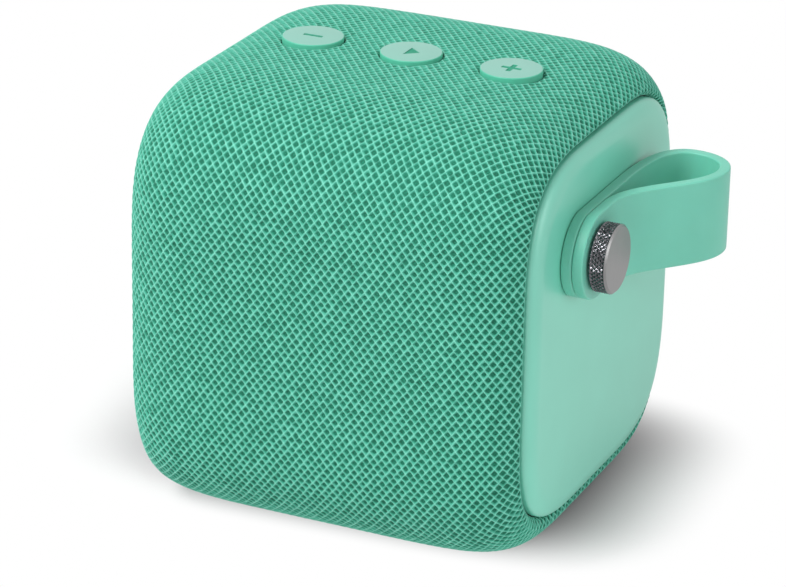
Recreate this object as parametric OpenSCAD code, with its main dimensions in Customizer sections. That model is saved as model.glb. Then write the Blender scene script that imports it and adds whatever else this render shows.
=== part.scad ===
// Portable speaker: a soft cube wrapped in knitted fabric, with a rubberised panel on each side,
// three buttons on top and a silicone carrying strap held by a knurled thumb screw.
// Millimetres. The origin is the middle of the foot's resting face, +Z is up, the front faces -Y
// and the strap is on the +X side.

/* [Body] */
// Width that the wrap's side rounding runs out to
body_w = 98; // [86:0.5:118]
// Depth over the fabric, front to back
body_d = 96; // [86:0.5:116]
// Height of the fabric's top above the surface it stands on
body_h = 98; // [88:0.5:118]
// How far the rounding of the wrap's four long corners reaches
wrap_reach = 31; // [24:0.5:36]
// Squareness of that rounding (2 is a circle)
wrap_power = 2.6; // [2:0.1:4]
// How far the rounding towards the side panels reaches
side_reach = 39.5; // [34:0.5:41]
// Squareness of the rounding towards the side panels
side_power = 4.5; // [3.6:0.1:5]
// Thickness of the rubber foot
foot_t = 0.8; // [0.6:0.1:2]

/* [Walls] */
// Thickness of the knitted fabric
fabric_t = 1; // [0.6:0.1:1.4]
// Wall of the moulded cabinet
wall_t = 2.2; // [1.6:0.1:2.8]
// Thickness of the seal between the cabinet's halves
seal_t = 0.7; // [0.5:0.1:1.5]
// Distance of the cabinet's split behind the middle
split_back = 30; // [28:0.5:32]

/* [Side panels] */
// Inset of a panel's border from the fabric's outside
panel_margin = 8.4; // [7.5:0.1:10]
// How far the rounding of a panel's corners reaches
panel_reach = 31; // [24:0.5:34]
// Squareness of a panel's corners
panel_power = 3.2; // [2.2:0.1:4]
// Depth of a panel's face below the body width
panel_sink = 2.2; // [1.8:0.1:2.8]
// Thickness of a panel's skin
panel_skin = 2.2; // [1.8:0.1:2.4]
// Open seam between a panel and the fabric
panel_gap = 0.25; // [0.15:0.05:0.4]
// Thickness of the tape that holds a panel
tape_t = 0.7; // [0.5:0.1:0.9]

/* [Buttons] */
// Radius of a top button
button_r = 6.7; // [5:0.05:8.4]
// Distance between the top buttons
button_pitch = 23.1; // [19.5:0.1:24.5]
// Distance of the button row behind the middle
button_back = 1.1; // [-3:0.1:4]
// Height of the top buttons above the fabric
button_proud = 0.7; // [0.6:0.05:1.6]
// Travel of the top buttons
button_travel = 0.5; // [0.3:0.05:0.6]
// Radius of a side button
side_button_r = 3; // [2.4:0.1:3.4]
// Travel of the side buttons
side_travel = 0.4; // [0.2:0.05:0.5]

/* [Strap] */
// Width of the strap
strap_w = 18.5; // [14:0.5:22]
// Thickness of the strap
strap_t = 2.4; // [1.6:0.1:3]
// Distance of the strap screw in front of the middle
screw_forward = 18.2; // [10:0.1:20]
// Height of the strap screw above the middle
screw_up = 19; // [8:0.5:22]
// Reach of the strap's loop behind its screw
loop_back = 44; // [34:0.5:48]
// Distance of the loop's outermost layer from the panel
loop_out = 18.5; // [14:0.5:24]
// Radius of the thumb screw's head
head_r = 7.4; // [5.5:0.1:8.5]
// Thickness of the thumb screw's head
head_t = 3.9; // [3:0.1:6]
// Radius of the thumb screw's thread
thread_r = 2; // [1.5:0.25:2.5]

/* [Speaker] */
// Radius of the driver's and the radiator's frame
frame_r = 28.5; // [25:0.25:29.5]
// Radius of the cone at its surround
cone_r = 19.4; // [17:0.1:19.8]
// Travel of the cone each way
cone_travel = 1.5; // [0.5:0.1:2]
// Travel of the passive radiator each way
radiator_travel = 2.5; // [1:0.1:3]
// Radius of a perforation in the grilles
perforation_r = 1.5; // [0.8:0.1:1.8]

/* [Power and ports] */
// Radius of the battery cell
cell_r = 9.1; // [7:0.1:9.4]
// Length of the battery cell
cell_l = 65; // [50:0.5:70]
// Radius of the audio socket's bore
jack_r = 1.8; // [1.75:0.05:2]
// Depth of the audio socket's bore
jack_l = 12; // [9:0.5:14]
// Height of the flap over the ports
flap_h = 11; // [10:0.5:13]

/* [Hidden] */
$fn = 48;

// Clearances
glue_gap = 0.05;     // two glued or clamped faces
fit_gap = 0.1;       // two pieces that are put together by hand
run_gap = 0.05;      // a shaft in its hole
slide_gap = 0.15;    // a button in its hole

// The wrap: a tube about X whose section is a rounded square, drawn in towards both sides
half_w = body_w/2;
half_d = body_d/2;
half_h = (body_h - foot_t)/2;
mid_z = foot_t + half_h;
corner_n = 8;        // steps round each corner of a section
side_n = 7;          // steps along the rounding towards a side
min_reach = 1;

function corner(reach, power) =
    [for (i = [0:corner_n]) let (a = 90*i/corner_n)
        [reach*pow(cos(a), 2/power), reach*pow(sin(a), 2/power)]];
function mirrored(points, y, z) = [for (p = points) [p[0]*y, p[1]*z]];
function backwards(points) = [for (i = [len(points) - 1:-1:0]) points[i]];
// The wrap's section drawn in by `i`: it turns into a panel's outline at the panel's border
function blend(i) = min(i/panel_margin, 1);
function reach_at(i) = wrap_reach + (panel_reach - wrap_reach)*blend(i) - max(i - panel_margin, 0);
function power_at(i) = wrap_power + (panel_power - wrap_power)*blend(i);
function section(i) =
    let (reach = max(reach_at(i), min_reach), y = half_d - i - reach, z = half_h - i - reach,
        q = [for (p = corner(reach, power_at(i))) [y + p[0], z + p[1]]])
        concat(q, backwards(mirrored(q, -1, 1)), mirrored(q, -1, -1), backwards(mirrored(q, 1, -1)));

// A solid about X through sections placed by rings of [x, inset]; a closed one joins its last
// section to its first and has no end faces
module stack(rings, closed = false) {
    n = 4*(corner_n + 1);
    m = len(rings);
    points = [for (r = rings) for (p = section(r[1])) [r[0], p[0], mid_z + p[1]]];
    // each patch is cut from its lower x to its higher x, so that surfaces inside each other stay clear
    sides = [for (i = [0:(closed ? m - 1 : m - 2)]) for (j = [0:n - 1])
        let (next = (i + 1)%m, a = i*n + j, b = i*n + (j + 1)%n, c = next*n + (j + 1)%n, d = next*n + j)
            each rings[next][0] >= rings[i][0] ? [[a, d, c], [a, c, b]] : [[a, d, b], [d, c, b]]];
    ends = closed ? [] : [[for (j = [0:n - 1]) j], [for (j = [n - 1:-1:0]) (m - 1)*n + j]];
    polyhedron(points, concat(sides, ends), convexity = 6);
}
// The rounding towards a side at angle a, for a surface that lies `in` below the fabric's outside
function side_ring(a, in) =
    [half_w - side_reach + (side_reach - in)*pow(sin(a), 2/side_power),
        in + (side_reach - in)*(1 - pow(cos(a), 2/side_power))];
function angle_at_inset(i, in) = acos(pow(1 - (i - in)/(side_reach - in), side_power/2));
function angle_at_x(x, in) = asin(pow((x - half_w + side_reach)/(side_reach - in), side_power/2));
function side_rings(last, in) = [for (i = [0:side_n]) side_ring(last*i/side_n, in)];
function other_side(rings) = [for (r = backwards(rings)) [-r[0], r[1]]];

// Where the fabric rolls over the cabinet's rim and is tucked in beside a panel
roll = 1.4;
tuck_t = 0.8*fabric_t;
tuck_in = panel_margin - panel_gap;
roll_start = tuck_in - roll;
face_x = half_w - panel_sink;              // outer face of a side panel
border_x = face_x - 1.6;                   // where a panel's bevel starts
end_x = face_x - panel_skin - tape_t - 1.5; // outer face of the cabinet's side walls
tuck_x = end_x + 0.25;
cab_in = fabric_t + glue_gap;              // the cabinet's face below the fabric's outside
outer_last = angle_at_inset(roll_start, 0);
inner_last = angle_at_x(end_x, cab_in);
outer_edge_x = side_ring(outer_last, 0)[0];
sleeve_outside = concat(side_rings(outer_last, 0),
    [[outer_edge_x - 0.15*roll, tuck_in - 0.3*roll], [outer_edge_x - 0.7*roll, tuck_in], [tuck_x, tuck_in]]);
sleeve_inside = concat(side_rings(inner_last, fabric_t), [[tuck_x, tuck_in - tuck_t]]);

// The cabinet, inside the fabric
cavity_in = cab_in + wall_t;
cavity_x = end_x - wall_t;
split_y = split_back;
cab_front = -half_d + cab_in;
cab_top = body_h - cab_in;
cab_bottom = foot_t + cab_in;
cavity_top = cab_top - wall_t;

// The space `in` below the fabric's outside and no wider than x to each side
module cabinet_form(in, x) {
    right = side_rings(angle_at_x(x, in), in);
    stack(concat(other_side(right), right));
}
module front_half(back_y) translate([-body_w, -body_d, -1]) cube([2*body_w, body_d + back_y, body_h + 10]);
module rear_half(front_y) translate([-body_w, front_y, -1]) cube([2*body_w, body_d, body_h + 10]);
module both_sides() {
    children();
    mirror([1, 0, 0]) children();
}
module x_rod(x, y, z, r, l) translate([x, y, z]) rotate([0, 90, 0]) cylinder(r = r, h = l);
module y_rod(x, y, z, r, l) translate([x, y, z]) rotate([-90, 0, 0]) cylinder(r = r, h = l);
module z_rod(x, y, z, r, l) translate([x, y, z]) cylinder(r = r, h = l);
module block(x, y, z, size) translate([x, y, z]) cube(size);

// Speaker openings: a well behind each grille, with a baffle that carries the frame
well_r = frame_r + 0.4;
well_wall = 3.6;
grille_r = frame_r + 1.4;
grille_t = 1.2;
grille_in = 1.35;          // face of the grille behind the cabinet's face
gasket_t = 0.5;
flange_t = 1.5;
surround_in = frame_r - 4.2;                 // radius at which a surround's roll meets its frame
roll_r = (surround_in - cone_r + 1)/2;       // radius of that half roll
surround_room = 0.7 + max(cone_travel, radiator_travel)/2;
baffle_in = grille_in + grille_t + gasket_t + flange_t + roll_r + surround_room; // baffle's face
baffle_t = 2.2;
baffle_hole_r = frame_r - 3.3;
speaker_screw_r = frame_r - 1.6;
speaker_pilot_r = 0.7;

// Rear screws
boss_x = cavity_x - 3.2;
boss_up = 22;
boss_r = 3.4;
boss_l = 12;
cover_screw_r = 1.25;
cover_head_r = 2.6;
cover_head_t = 2;
cover_head_y = half_d - 9;

// Top buttons and their board, downwards from the cabinet's inside
cap_hole_r = button_r + slide_gap;
cap_flange_r = button_r + 0.8;
facet_room = 0.15;         // the crown's facets lie this far inside its curve
crown_drop = side_ring(angle_at_x(button_pitch + cap_flange_r, cavity_in), cavity_in)[1] - cavity_in;
flange_top = cavity_top - fit_gap - facet_room - crown_drop;
cap_flange_t = 1;
cap_stem_r = 2.2;
cap_stem_l = 2.3;
stem_bottom = flange_top - cap_flange_t - cap_stem_l;
membrane_t = 0.5;
membrane_top = stem_bottom - fit_gap;
plunger_top = membrane_top - membrane_t - fit_gap;
plunger_r = 1.7;
plunger_l = 1.6;
switch_w = 5.2;
switch_h = 2;
plunger_out = 0.6;
switch_top = plunger_top - plunger_out;
top_board_t = 1;
top_board_z = switch_top - switch_h - top_board_t;
top_board_l = 2*button_pitch + 28;
top_board_w = 17;
top_post_x = top_board_l/2 - 3.2;
top_post_y = 5.4;
post_r = 2.4;
board_screw_r = 0.8;
board_screw_l = 6;
board_head_r = 1.7;
board_head_t = 1.2;
pilot_r = board_screw_r + run_gap;

// Main board, on posts over the cabinet's floor
board_t = 1.6;
board_top = foot_t + 16.8;
board_left = -cavity_x + 0.3;
board_l = 66;
board_front = -half_d + 14;
board_w = 43.2;
port_z = board_top + 2.5;
usb_z = board_top + 1.63;
post_places = [[board_left + 12, board_front + 3.5], [board_left + board_l - 4, board_front + 3.5],
    [board_left + 22, board_front + board_w - 3.5], [board_left + board_l - 4, board_front + board_w - 3.5]];

// Places along the left side, from the front
power_y = board_front + 10;
pairing_y = power_y + 7.8;
led_y = pairing_y + 6;
usb_y = led_y + 7.2;
jack_y = usb_y + 9;
flap_w = 21.5;
flap_y = (usb_y + jack_y)/2 - flap_w/2 + 0.2;
flap_t = 1.7;
bay_depth = flap_t + 0.3;
bay_z = usb_z - 4.2;
hinge_r = 0.8;
hinge_x = -face_x + 0.7;
hinge_z = bay_z + hinge_r;
port_mouth_x = -face_x + bay_depth + 0.6;
usb_w = 8.94;
usb_h = 3.26;
usb_l = 8;
jack_body = [jack_l + 1.5, 6.2, 5];
jack_nose_r = 2.45;
side_cap_proud = 0.5;
side_flange_r = side_button_r + 0.6;
side_flange_t = 0.7;
side_flange_x = -face_x + panel_skin + fit_gap;
side_plunger_r = 0.9;
side_plunger_x = -end_x + 1.1;
side_plunger_l = 1.7;
side_switch_x = -cavity_x + 0.35;
side_switch = [3, 5.2, 3.6];
side_z = board_top + side_switch[2]/2;
pipe_r = 0.9;

// Strap stack, outwards from the right panel
screw_y = -screw_forward;
screw_z = mid_z + screw_up;
strap_x = face_x + fit_gap;
layer_x = strap_x + strap_t/2;
second_x = layer_x + strap_t + glue_gap;
washer_t = 0.3;
washer_x = second_x + strap_t/2 + glue_gap;
head_x = washer_x + washer_t + glue_gap;
insert_r = thread_r + 1.1;
insert_l = 6;
insert_boss_r = insert_r + 2;
thread_end_x = end_x - insert_l + 0.4;

module speaker_places() {
    translate([0, cab_front + baffle_in, mid_z]) rotate([90, 0, 0]) children();
    translate([0, -cab_front - baffle_in, mid_z]) rotate([-90, 0, 0]) children();
}
module front_speaker() translate([0, cab_front + baffle_in, mid_z]) rotate([90, 0, 0]) children();
module rear_speaker() translate([0, -cab_front - baffle_in, mid_z]) rotate([-90, 0, 0]) children();
module four_round(r) for (a = [45:90:315]) rotate([0, 0, a]) translate([r, 0, 0]) children();
module ring(outer, inner, z, h) translate([0, 0, z]) difference() {
    cylinder(r = outer, h = h);
    translate([0, 0, -1]) cylinder(r = inner, h = h + 2);
}

// Outer wrap
module fabric_sleeve() color("mediumaquamarine") difference() {
    stack(concat(other_side(sleeve_outside), sleeve_outside, backwards(sleeve_inside),
        [for (r = sleeve_inside) [-r[0], r[1]]]), closed = true);
    for (i = [-1:1])
        z_rod(i*button_pitch, button_back, body_h - 8, cap_hole_r + slide_gap, 12);
}

// Cabinet
module speaker_well() {
    ring(well_r + well_wall, well_r, -baffle_t, baffle_in + 2);
    ring(well_r + well_wall, baffle_hole_r, -baffle_t, baffle_t);
}
module speaker_well_holes() {
    translate([0, 0, -0.01]) cylinder(r = well_r, h = baffle_in + 10);
    translate([0, 0, baffle_in - grille_in - grille_t - glue_gap]) cylinder(r = grille_r + fit_gap, h = 10);
    translate([0, 0, -baffle_t - 1]) cylinder(r = baffle_hole_r, h = 10);
    four_round(speaker_screw_r) translate([0, 0, -baffle_t - 1]) cylinder(r = speaker_pilot_r, h = 10);
}
module cover_bosses(y, l)
    for (sx = [-1, 1], sz = [-1, 1]) {
        y_rod(sx*boss_x, y, mid_z + sz*boss_up, boss_r, l);
        block(sx*(boss_x + 2.5) - 2.5, y, mid_z + sz*boss_up - 1, [5, l, 2]);
    }
module cabinet_body() color("dimgray") difference() {
    intersection() {
        cabinet_form(cab_in, end_x);
        front_half(split_y - seal_t/2 - glue_gap);
    }
    difference() {
        cabinet_form(cavity_in, cavity_x);
        front_speaker() speaker_well();
        cover_bosses(split_y - boss_l, boss_l);
        for (sx = [-1, 1], sy = [-1, 1])
            z_rod(sx*top_post_x, button_back + sy*top_post_y, top_board_z + top_board_t, post_r, 20);
        for (p = post_places) z_rod(p[0], p[1], 0, post_r, board_top - board_t);
        x_rod(cavity_x - insert_l + wall_t - 1, screw_y, screw_z, insert_boss_r, insert_l + 4);
    }
    front_speaker() speaker_well_holes();
    for (sx = [-1, 1], sz = [-1, 1])
        y_rod(sx*boss_x, split_y - boss_l + 2, mid_z + sz*boss_up, cover_screw_r + run_gap, boss_l);
    for (i = [-1:1]) z_rod(i*button_pitch, button_back, cavity_top - 3, cap_hole_r, 12);
    for (sx = [-1, 1], sy = [-1, 1])
        z_rod(sx*top_post_x, button_back + sy*top_post_y, top_board_z, pilot_r, board_screw_l);
    for (p = post_places) z_rod(p[0], p[1], board_top - board_t - board_screw_l, pilot_r, board_screw_l + 1);
    x_rod(end_x - insert_l - 0.2, screw_y, screw_z, insert_r + glue_gap, insert_l + 4);
    side_openings();
}
module side_openings() {
    block(-end_x - 2, usb_y - usb_w/2 - 0.3, usb_z - usb_h/2 - 0.3, [wall_t + 3, usb_w + 0.6, usb_h + 0.6]);
    x_rod(-end_x - 2, jack_y, port_z, jack_nose_r + 0.3, wall_t + 3);
    for (y = [power_y, pairing_y]) x_rod(-end_x - 2, y, side_z, 2, wall_t + 3);
    x_rod(-end_x - 2, led_y, side_z, pipe_r + fit_gap, wall_t + 3);
}
module cabinet_back() color("dimgray") difference() {
    intersection() {
        cabinet_form(cab_in, end_x);
        rear_half(split_y + seal_t/2 + glue_gap);
    }
    difference() {
        cabinet_form(cavity_in, cavity_x);
        rear_speaker() speaker_well();
        cover_bosses(split_y, 20);
    }
    rear_speaker() speaker_well_holes();
    for (sx = [-1, 1], sz = [-1, 1]) {
        y_rod(sx*boss_x, split_y - 1, mid_z + sz*boss_up, cover_screw_r + run_gap, 30);
        y_rod(sx*boss_x, cover_head_y - glue_gap, mid_z + sz*boss_up, cover_head_r + fit_gap, 30);
    }
}
module cabinet_seal() color("black") intersection() {
    difference() {
        cabinet_form(cab_in + 0.35*wall_t, end_x - 0.35*wall_t);
        cabinet_form(cavity_in - 0.2*wall_t, cavity_x + 0.2*wall_t);
    }
    translate([-body_w, split_y - seal_t/2, -1]) cube([2*body_w, seal_t, body_h + 10]);
}
cover_screw_y = split_y - boss_l + 3;
module cabinet_screws() color("silver")
    for (sx = [-1, 1], sz = [-1, 1]) {
        y_rod(sx*boss_x, cover_head_y, mid_z + sz*boss_up, cover_head_r, cover_head_t);
        y_rod(sx*boss_x, cover_screw_y, mid_z + sz*boss_up, cover_screw_r, cover_head_y - cover_screw_y + 1);
    }

// Grilles: perforated steel discs
perforation_pitch = 2*perforation_r + 1.2;
module grille() translate([0, 0, baffle_in - grille_in - grille_t]) linear_extrude(grille_t) difference() {
    circle(r = grille_r);
    rows = floor(grille_r/perforation_pitch);
    for (i = [-rows:rows], j = [-rows:rows])
        let (x = (i + j/2)*perforation_pitch, y = j*perforation_pitch*sin(60))
            if (norm([x, y]) < grille_r - 4*perforation_r)
                translate([x, y]) circle(r = perforation_r, $fn = 16);
}
module front_grille() color("#2b2d2f") front_speaker() grille();
module rear_grille() color("#2b2d2f") rear_speaker() grille();

// Side panels
module panel_solid(x0, in, drop) {
    let (border = panel_margin + in, x = border_x - drop)
        stack([[x0, border], [x, border], [x + 0.9, border + 0.7], [x + 1.35, border + 2],
            [face_x - drop, border + 4.5]]);
}
panel_back_x = end_x + tape_t + 2*glue_gap;
module panel_shell() difference() {
    panel_solid(panel_back_x, 0, 0);
    panel_solid(panel_back_x - 1, panel_skin + 0.6, panel_skin);
}
module right_panel() color("mediumaquamarine") difference() {
    union() {
        panel_shell();
        x_rod(panel_back_x, screw_y, screw_z, insert_boss_r + 1, face_x - panel_back_x - 1);
    }
    x_rod(panel_back_x - 1, screw_y, screw_z, thread_r + fit_gap, 10);
}
module left_panel() color("mediumaquamarine") difference() {
    union() {
        mirror([1, 0, 0]) panel_shell();
        block(-face_x + 1, flap_y - 2, bay_z - 2, [face_x - panel_back_x - 1, flap_w + 4, flap_h + 4]);
    }
    block(-face_x - 1, flap_y, bay_z + hinge_r, [bay_depth + 1, flap_w, flap_h - hinge_r]);
    y_rod(hinge_x, flap_y, hinge_z, hinge_r + run_gap, flap_w);
    block(-face_x - 1, flap_y, hinge_z - hinge_r - run_gap, [hinge_x + face_x + 1, flap_w, hinge_r + 1]);
    block(-face_x - 1, usb_y - usb_w/2 - 0.3, usb_z - usb_h/2 - 0.3, [8, usb_w + 0.6, usb_h + 0.6]);
    x_rod(-face_x - 1, jack_y, port_z, jack_nose_r + 0.3, 8);
    for (y = [power_y, pairing_y]) {
        x_rod(-face_x - 1, y, side_z, side_button_r + slide_gap, 8);
        x_rod(-face_x + panel_skin, y, side_z, side_flange_r + slide_gap, 8);
    }
    x_rod(-face_x - 1, led_y, side_z, pipe_r + fit_gap, 8);
}
module panel_tape()
    let (x = end_x + glue_gap, outer = panel_margin + 0.5, inner = panel_margin + panel_skin + 0.3)
        stack([[x, outer], [x + tape_t, outer], [x + tape_t, inner], [x, inner]], closed = true);
module panel_tapes() color("black") both_sides() panel_tape();

// Strap: one band folded into a loop, with a round end at the screw
function bezier(a, b, c, d, t) = pow(1 - t, 3)*a + 3*pow(1 - t, 2)*t*b + 3*(1 - t)*t*t*c + pow(t, 3)*d;
bend_n = 12;
loop_tip_y = screw_y + loop_back;
loop_tip_x = strap_x + 0.52*loop_out;
loop_peak_x = strap_x + loop_out;
loop_peak_y = loop_tip_y - 8.5;
inner_leave = [layer_x, screw_y + 22];
outer_leave = [second_x, screw_y + 7.5];
tip = [loop_tip_x, loop_tip_y];
peak = [loop_peak_x, loop_peak_y];
strap_route = concat(
    [[layer_x, screw_y - strap_w/2 - 1]],
    [for (i = [0:bend_n]) bezier(inner_leave, inner_leave + [0, 13], tip - [6.5, 0], tip, i/bend_n)],
    [for (i = [1:bend_n]) bezier(tip, tip + [5, 0], peak + [0, 5], peak, i/bend_n)],
    [for (i = [1:bend_n]) bezier(peak, peak - [0, 10], outer_leave + [0, 12], outer_leave, i/bend_n)],
    [[second_x, screw_y - strap_w/2 - 1]]);
function direction(path, i) = let (v = path[min(i + 1, len(path) - 1)] - path[max(i - 1, 0)]) v/norm(v);
function beside(path, offset) = [for (i = [0:len(path) - 1])
    let (d = direction(path, i)) path[i] + offset*[d[1], -d[0]]];
module strap() color("mediumaquamarine") difference() {
    intersection() {
        translate([0, 0, screw_z - strap_w/2]) linear_extrude(strap_w)
            polygon(concat(beside(strap_route, strap_t/2), backwards(beside(strap_route, -strap_t/2))));
        union() {
            x_rod(strap_x - 5, screw_y, screw_z, strap_w/2, 60);
            block(strap_x - 5, screw_y, screw_z - strap_w, [60, 2*loop_back, 2*strap_w]);
        }
    }
    x_rod(strap_x - 5, screw_y, screw_z, thread_r + run_gap, 60);
}
head_edge = 0.35;
module strap_screw() color("slategray") translate([head_x, screw_y, screw_z]) rotate([0, 90, 0])
    rotate_extrude() polygon([[0, thread_end_x - head_x], [thread_r, thread_end_x - head_x], [thread_r, 0],
        [head_r, 0], [head_r, head_t - head_edge], [head_r - head_edge, head_t], [0, head_t]]);
washer_r = head_r - 1.6;
module screw_washer() color("white")
    translate([washer_x, screw_y, screw_z]) rotate([0, 90, 0])
        ring(washer_r, thread_r + run_gap, 0, washer_t);
module strap_insert() color("goldenrod")
    translate([end_x - insert_l, screw_y, screw_z]) rotate([0, 90, 0]) difference() {
        ring(insert_r, thread_r + run_gap, 0, insert_l);
        for (z = [1.5, 3.5]) ring(insert_r + 1, insert_r - 0.4, z, 0.8);
    }

// Foot: a flat rubber ring with straight sides
foot_half = 13;
foot_r = 15;
foot_band = 3.6;
module foot_outline(r) {
    square([2*foot_half, 2*r], center = true);
    for (s = [-1, 1]) translate([s*foot_half, 0]) circle(r = r);
}
module foot_ring() color("darkseagreen") linear_extrude(foot_t - 0.02) difference() {
    foot_outline(foot_r);
    foot_outline(foot_r - foot_band);
}

// Top buttons
symbol_depth = 0.25;
cap_edge = 0.3;
cap_top = body_h + button_proud;
cap_bottom = flange_top - cap_flange_t;
module button_cap(x) translate([x, button_back, 0]) difference() {
    rotate_extrude() polygon([[0, stem_bottom], [cap_stem_r, stem_bottom], [cap_stem_r, cap_bottom],
        [cap_flange_r, cap_bottom], [cap_flange_r, flange_top], [button_r, flange_top],
        [button_r, cap_top - cap_edge], [button_r - cap_edge, cap_top], [0, cap_top]]);
    translate([0, 0, cap_top - symbol_depth]) linear_extrude(1) children();
}
minus_w = 4.4;
minus_t = 1.1;
play_back = 0.9;
play_tip = 2.0;
play_w = 4.7;
module minus_button() color("#9cd1c3") button_cap(-button_pitch) square([minus_w, minus_t], center = true);
module play_button() color("#9cd1c3")
    button_cap(0) polygon([[-play_back, -play_w/2], [play_tip, 0], [-play_back, play_w/2]]);
module plus_button() color("#9cd1c3") button_cap(button_pitch) union() {
    square([minus_w, minus_t], center = true);
    square([minus_t, minus_w], center = true);
}
plunger_bottom = plunger_top - plunger_l;
module top_plunger(x) color("black") z_rod(x, button_back, plunger_bottom, plunger_r, plunger_l);
module minus_plunger() top_plunger(-button_pitch);
module play_plunger() top_plunger(0);
module plus_plunger() top_plunger(button_pitch);
membrane_l = 2*button_pitch + 16;
membrane_w = 13;
module button_membrane() color("gainsboro")
    translate([-membrane_l/2, button_back - membrane_w/2, top_board_z + top_board_t]) difference() {
        cube([membrane_l, membrane_w, membrane_top - top_board_z - top_board_t]);
        translate([1.2, 1.2, -1]) cube([membrane_l - 2.4, membrane_w - 2.4,
            membrane_top - membrane_t - top_board_z - top_board_t + 1]);
    }
module tact_switches() color("dimgray") {
    for (i = [-1:1]) difference() {
        translate([i*button_pitch - switch_w/2, button_back - switch_w/2, top_board_z + top_board_t])
            cube([switch_w, switch_w, switch_h]);
        z_rod(i*button_pitch, button_back, plunger_bottom - button_travel - 0.1, plunger_r + run_gap, 9);
    }
    for (y = [power_y, pairing_y]) difference() {
        block(side_switch_x, y - side_switch[1]/2, board_top, side_switch);
        x_rod(side_switch_x - 1, y, side_z, side_plunger_r + run_gap,
            side_plunger_x + side_plunger_l + side_travel + 0.2 - side_switch_x + 1);
    }
}
module button_board() color("darkgreen") difference() {
    translate([-top_board_l/2, button_back - top_board_w/2, top_board_z])
        cube([top_board_l, top_board_w, top_board_t]);
    for (sx = [-1, 1], sy = [-1, 1])
        z_rod(sx*top_post_x, button_back + sy*top_post_y, top_board_z - 1, board_screw_r + 0.2, 4);
}
module board_screws() color("silver") {
    for (sx = [-1, 1], sy = [-1, 1]) translate([sx*top_post_x, button_back + sy*top_post_y, top_board_z]) {
        z_rod(0, 0, -board_head_t, board_head_r, board_head_t);
        z_rod(0, 0, 0, board_screw_r, board_screw_l - 0.5);
    }
    for (p = post_places) translate([p[0], p[1], board_top]) {
        z_rod(0, 0, 0, board_head_r, board_head_t);
        z_rod(0, 0, 0.5 - board_screw_l, board_screw_r, board_screw_l);
    }
}

// Main board and what is soldered to it
module main_board() color("darkgreen") difference() {
    block(board_left, board_front, board_top - board_t, [board_l, board_w, board_t]);
    for (p = post_places) z_rod(p[0], p[1], board_top - board_t - 1, board_screw_r + 0.2, 4);
}
module bluetooth_module() color("silver") {
    block(board_left + 40, board_front + 8, board_top, [15, 12, 0.8]);
    block(board_left + 41, board_front + 9, board_top + 0.8, [10, 10, 1.4]);
}
module amplifier_chip() color("black") block(board_left + 20, board_front + 12, board_top, [7, 7, 1]);
module power_inductor() color("dimgray") block(board_left + 30, board_front + 12, board_top, [6.5, 6.5, 3]);
module capacitors() color("black")
    for (i = [0:2]) z_rod(board_left + 32 + 8*i, board_front + 30, board_top, 2.5, 4.5);
module usb_port() color("silver") difference() {
    block(port_mouth_x, usb_y - usb_w/2, usb_z - usb_h/2, [usb_l, usb_w, usb_h]);
    block(port_mouth_x - 1, usb_y - usb_w/2 + 0.35, usb_z - usb_h/2 + 0.35, [7, usb_w - 0.7, 0.85]);
    block(port_mouth_x - 1, usb_y - usb_w/2 + 0.35, usb_z + usb_h/2 - 1.2, [7, usb_w - 0.7, 0.85]);
}
module aux_jack() color("#202020") difference() {
    union() {
        x_rod(port_mouth_x, jack_y, port_z, jack_nose_r, 6);
        block(-cavity_x + 0.3, jack_y - jack_body[1]/2, board_top, jack_body);
    }
    x_rod(port_mouth_x - 1, jack_y, port_z, jack_r, jack_l + 1);
}
module side_button(y) color("mediumaquamarine") {
    x_rod(-face_x - side_cap_proud, y, side_z, side_button_r, side_flange_x + face_x + side_cap_proud);
    x_rod(side_flange_x, y, side_z, side_flange_r, side_flange_t);
    x_rod(side_flange_x, y, side_z, 1.4, side_plunger_x - fit_gap - side_flange_x);
}
module power_button() side_button(power_y);
module pairing_button() side_button(pairing_y);
module side_plunger(y) color("black") x_rod(side_plunger_x, y, side_z, side_plunger_r, side_plunger_l);
module power_plunger() side_plunger(power_y);
module pairing_plunger() side_plunger(pairing_y);
module status_led() color("white") block(side_switch_x, led_y - 0.8, side_z - 1.8, [2, 1.6, 2.6]);
module light_pipe() color("whitesmoke")
    x_rod(-face_x, led_y, side_z, pipe_r, face_x + side_switch_x - fit_gap);
module port_flap() color("mediumaquamarine") difference() {
    union() {
        block(-face_x, flap_y + fit_gap, hinge_z, [flap_t, flap_w - 2*fit_gap, flap_h - hinge_r - 2*fit_gap]);
        y_rod(hinge_x, flap_y + fit_gap, hinge_z, hinge_r, flap_w - 2*fit_gap);
    }
    y_rod(-face_x, flap_y + flap_w/2 - 4, hinge_z + flap_h - hinge_r, 1.1, 8);
}

// Battery
cradle_wall = 1.6;
cradle_back = 5.5;         // the cradle's rear edge behind the cell's axis
cell_y = board_front + board_w + cell_r + cradle_wall + fit_gap;
cell_z = foot_t + 16;
module battery_cell() color("steelblue") {
    x_rod(-cell_l/2, cell_y, cell_z, cell_r, cell_l);
    x_rod(cell_l/2, cell_y, cell_z, 3, 1);
}
module battery_cradle() color("dimgray") difference() {
    intersection() {
        cabinet_form(cavity_in + glue_gap, cavity_x - glue_gap);
        block(-cell_l/2 - cradle_wall, cell_y - cell_r - cradle_wall + 2*fit_gap, 0,
            [cell_l + 1 + 2*cradle_wall, cell_r + cradle_wall + cradle_back, cell_z + 1]);
    }
    x_rod(-cell_l/2 - fit_gap, cell_y, cell_z, cell_r + fit_gap, cell_l + 1 + 2*fit_gap);
    block(-cell_l/2 - fit_gap, cell_y - cell_r - fit_gap, cell_z,
        [cell_l + 1 + 2*fit_gap, 2*cell_r + 2*fit_gap, 20]);
}

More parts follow.
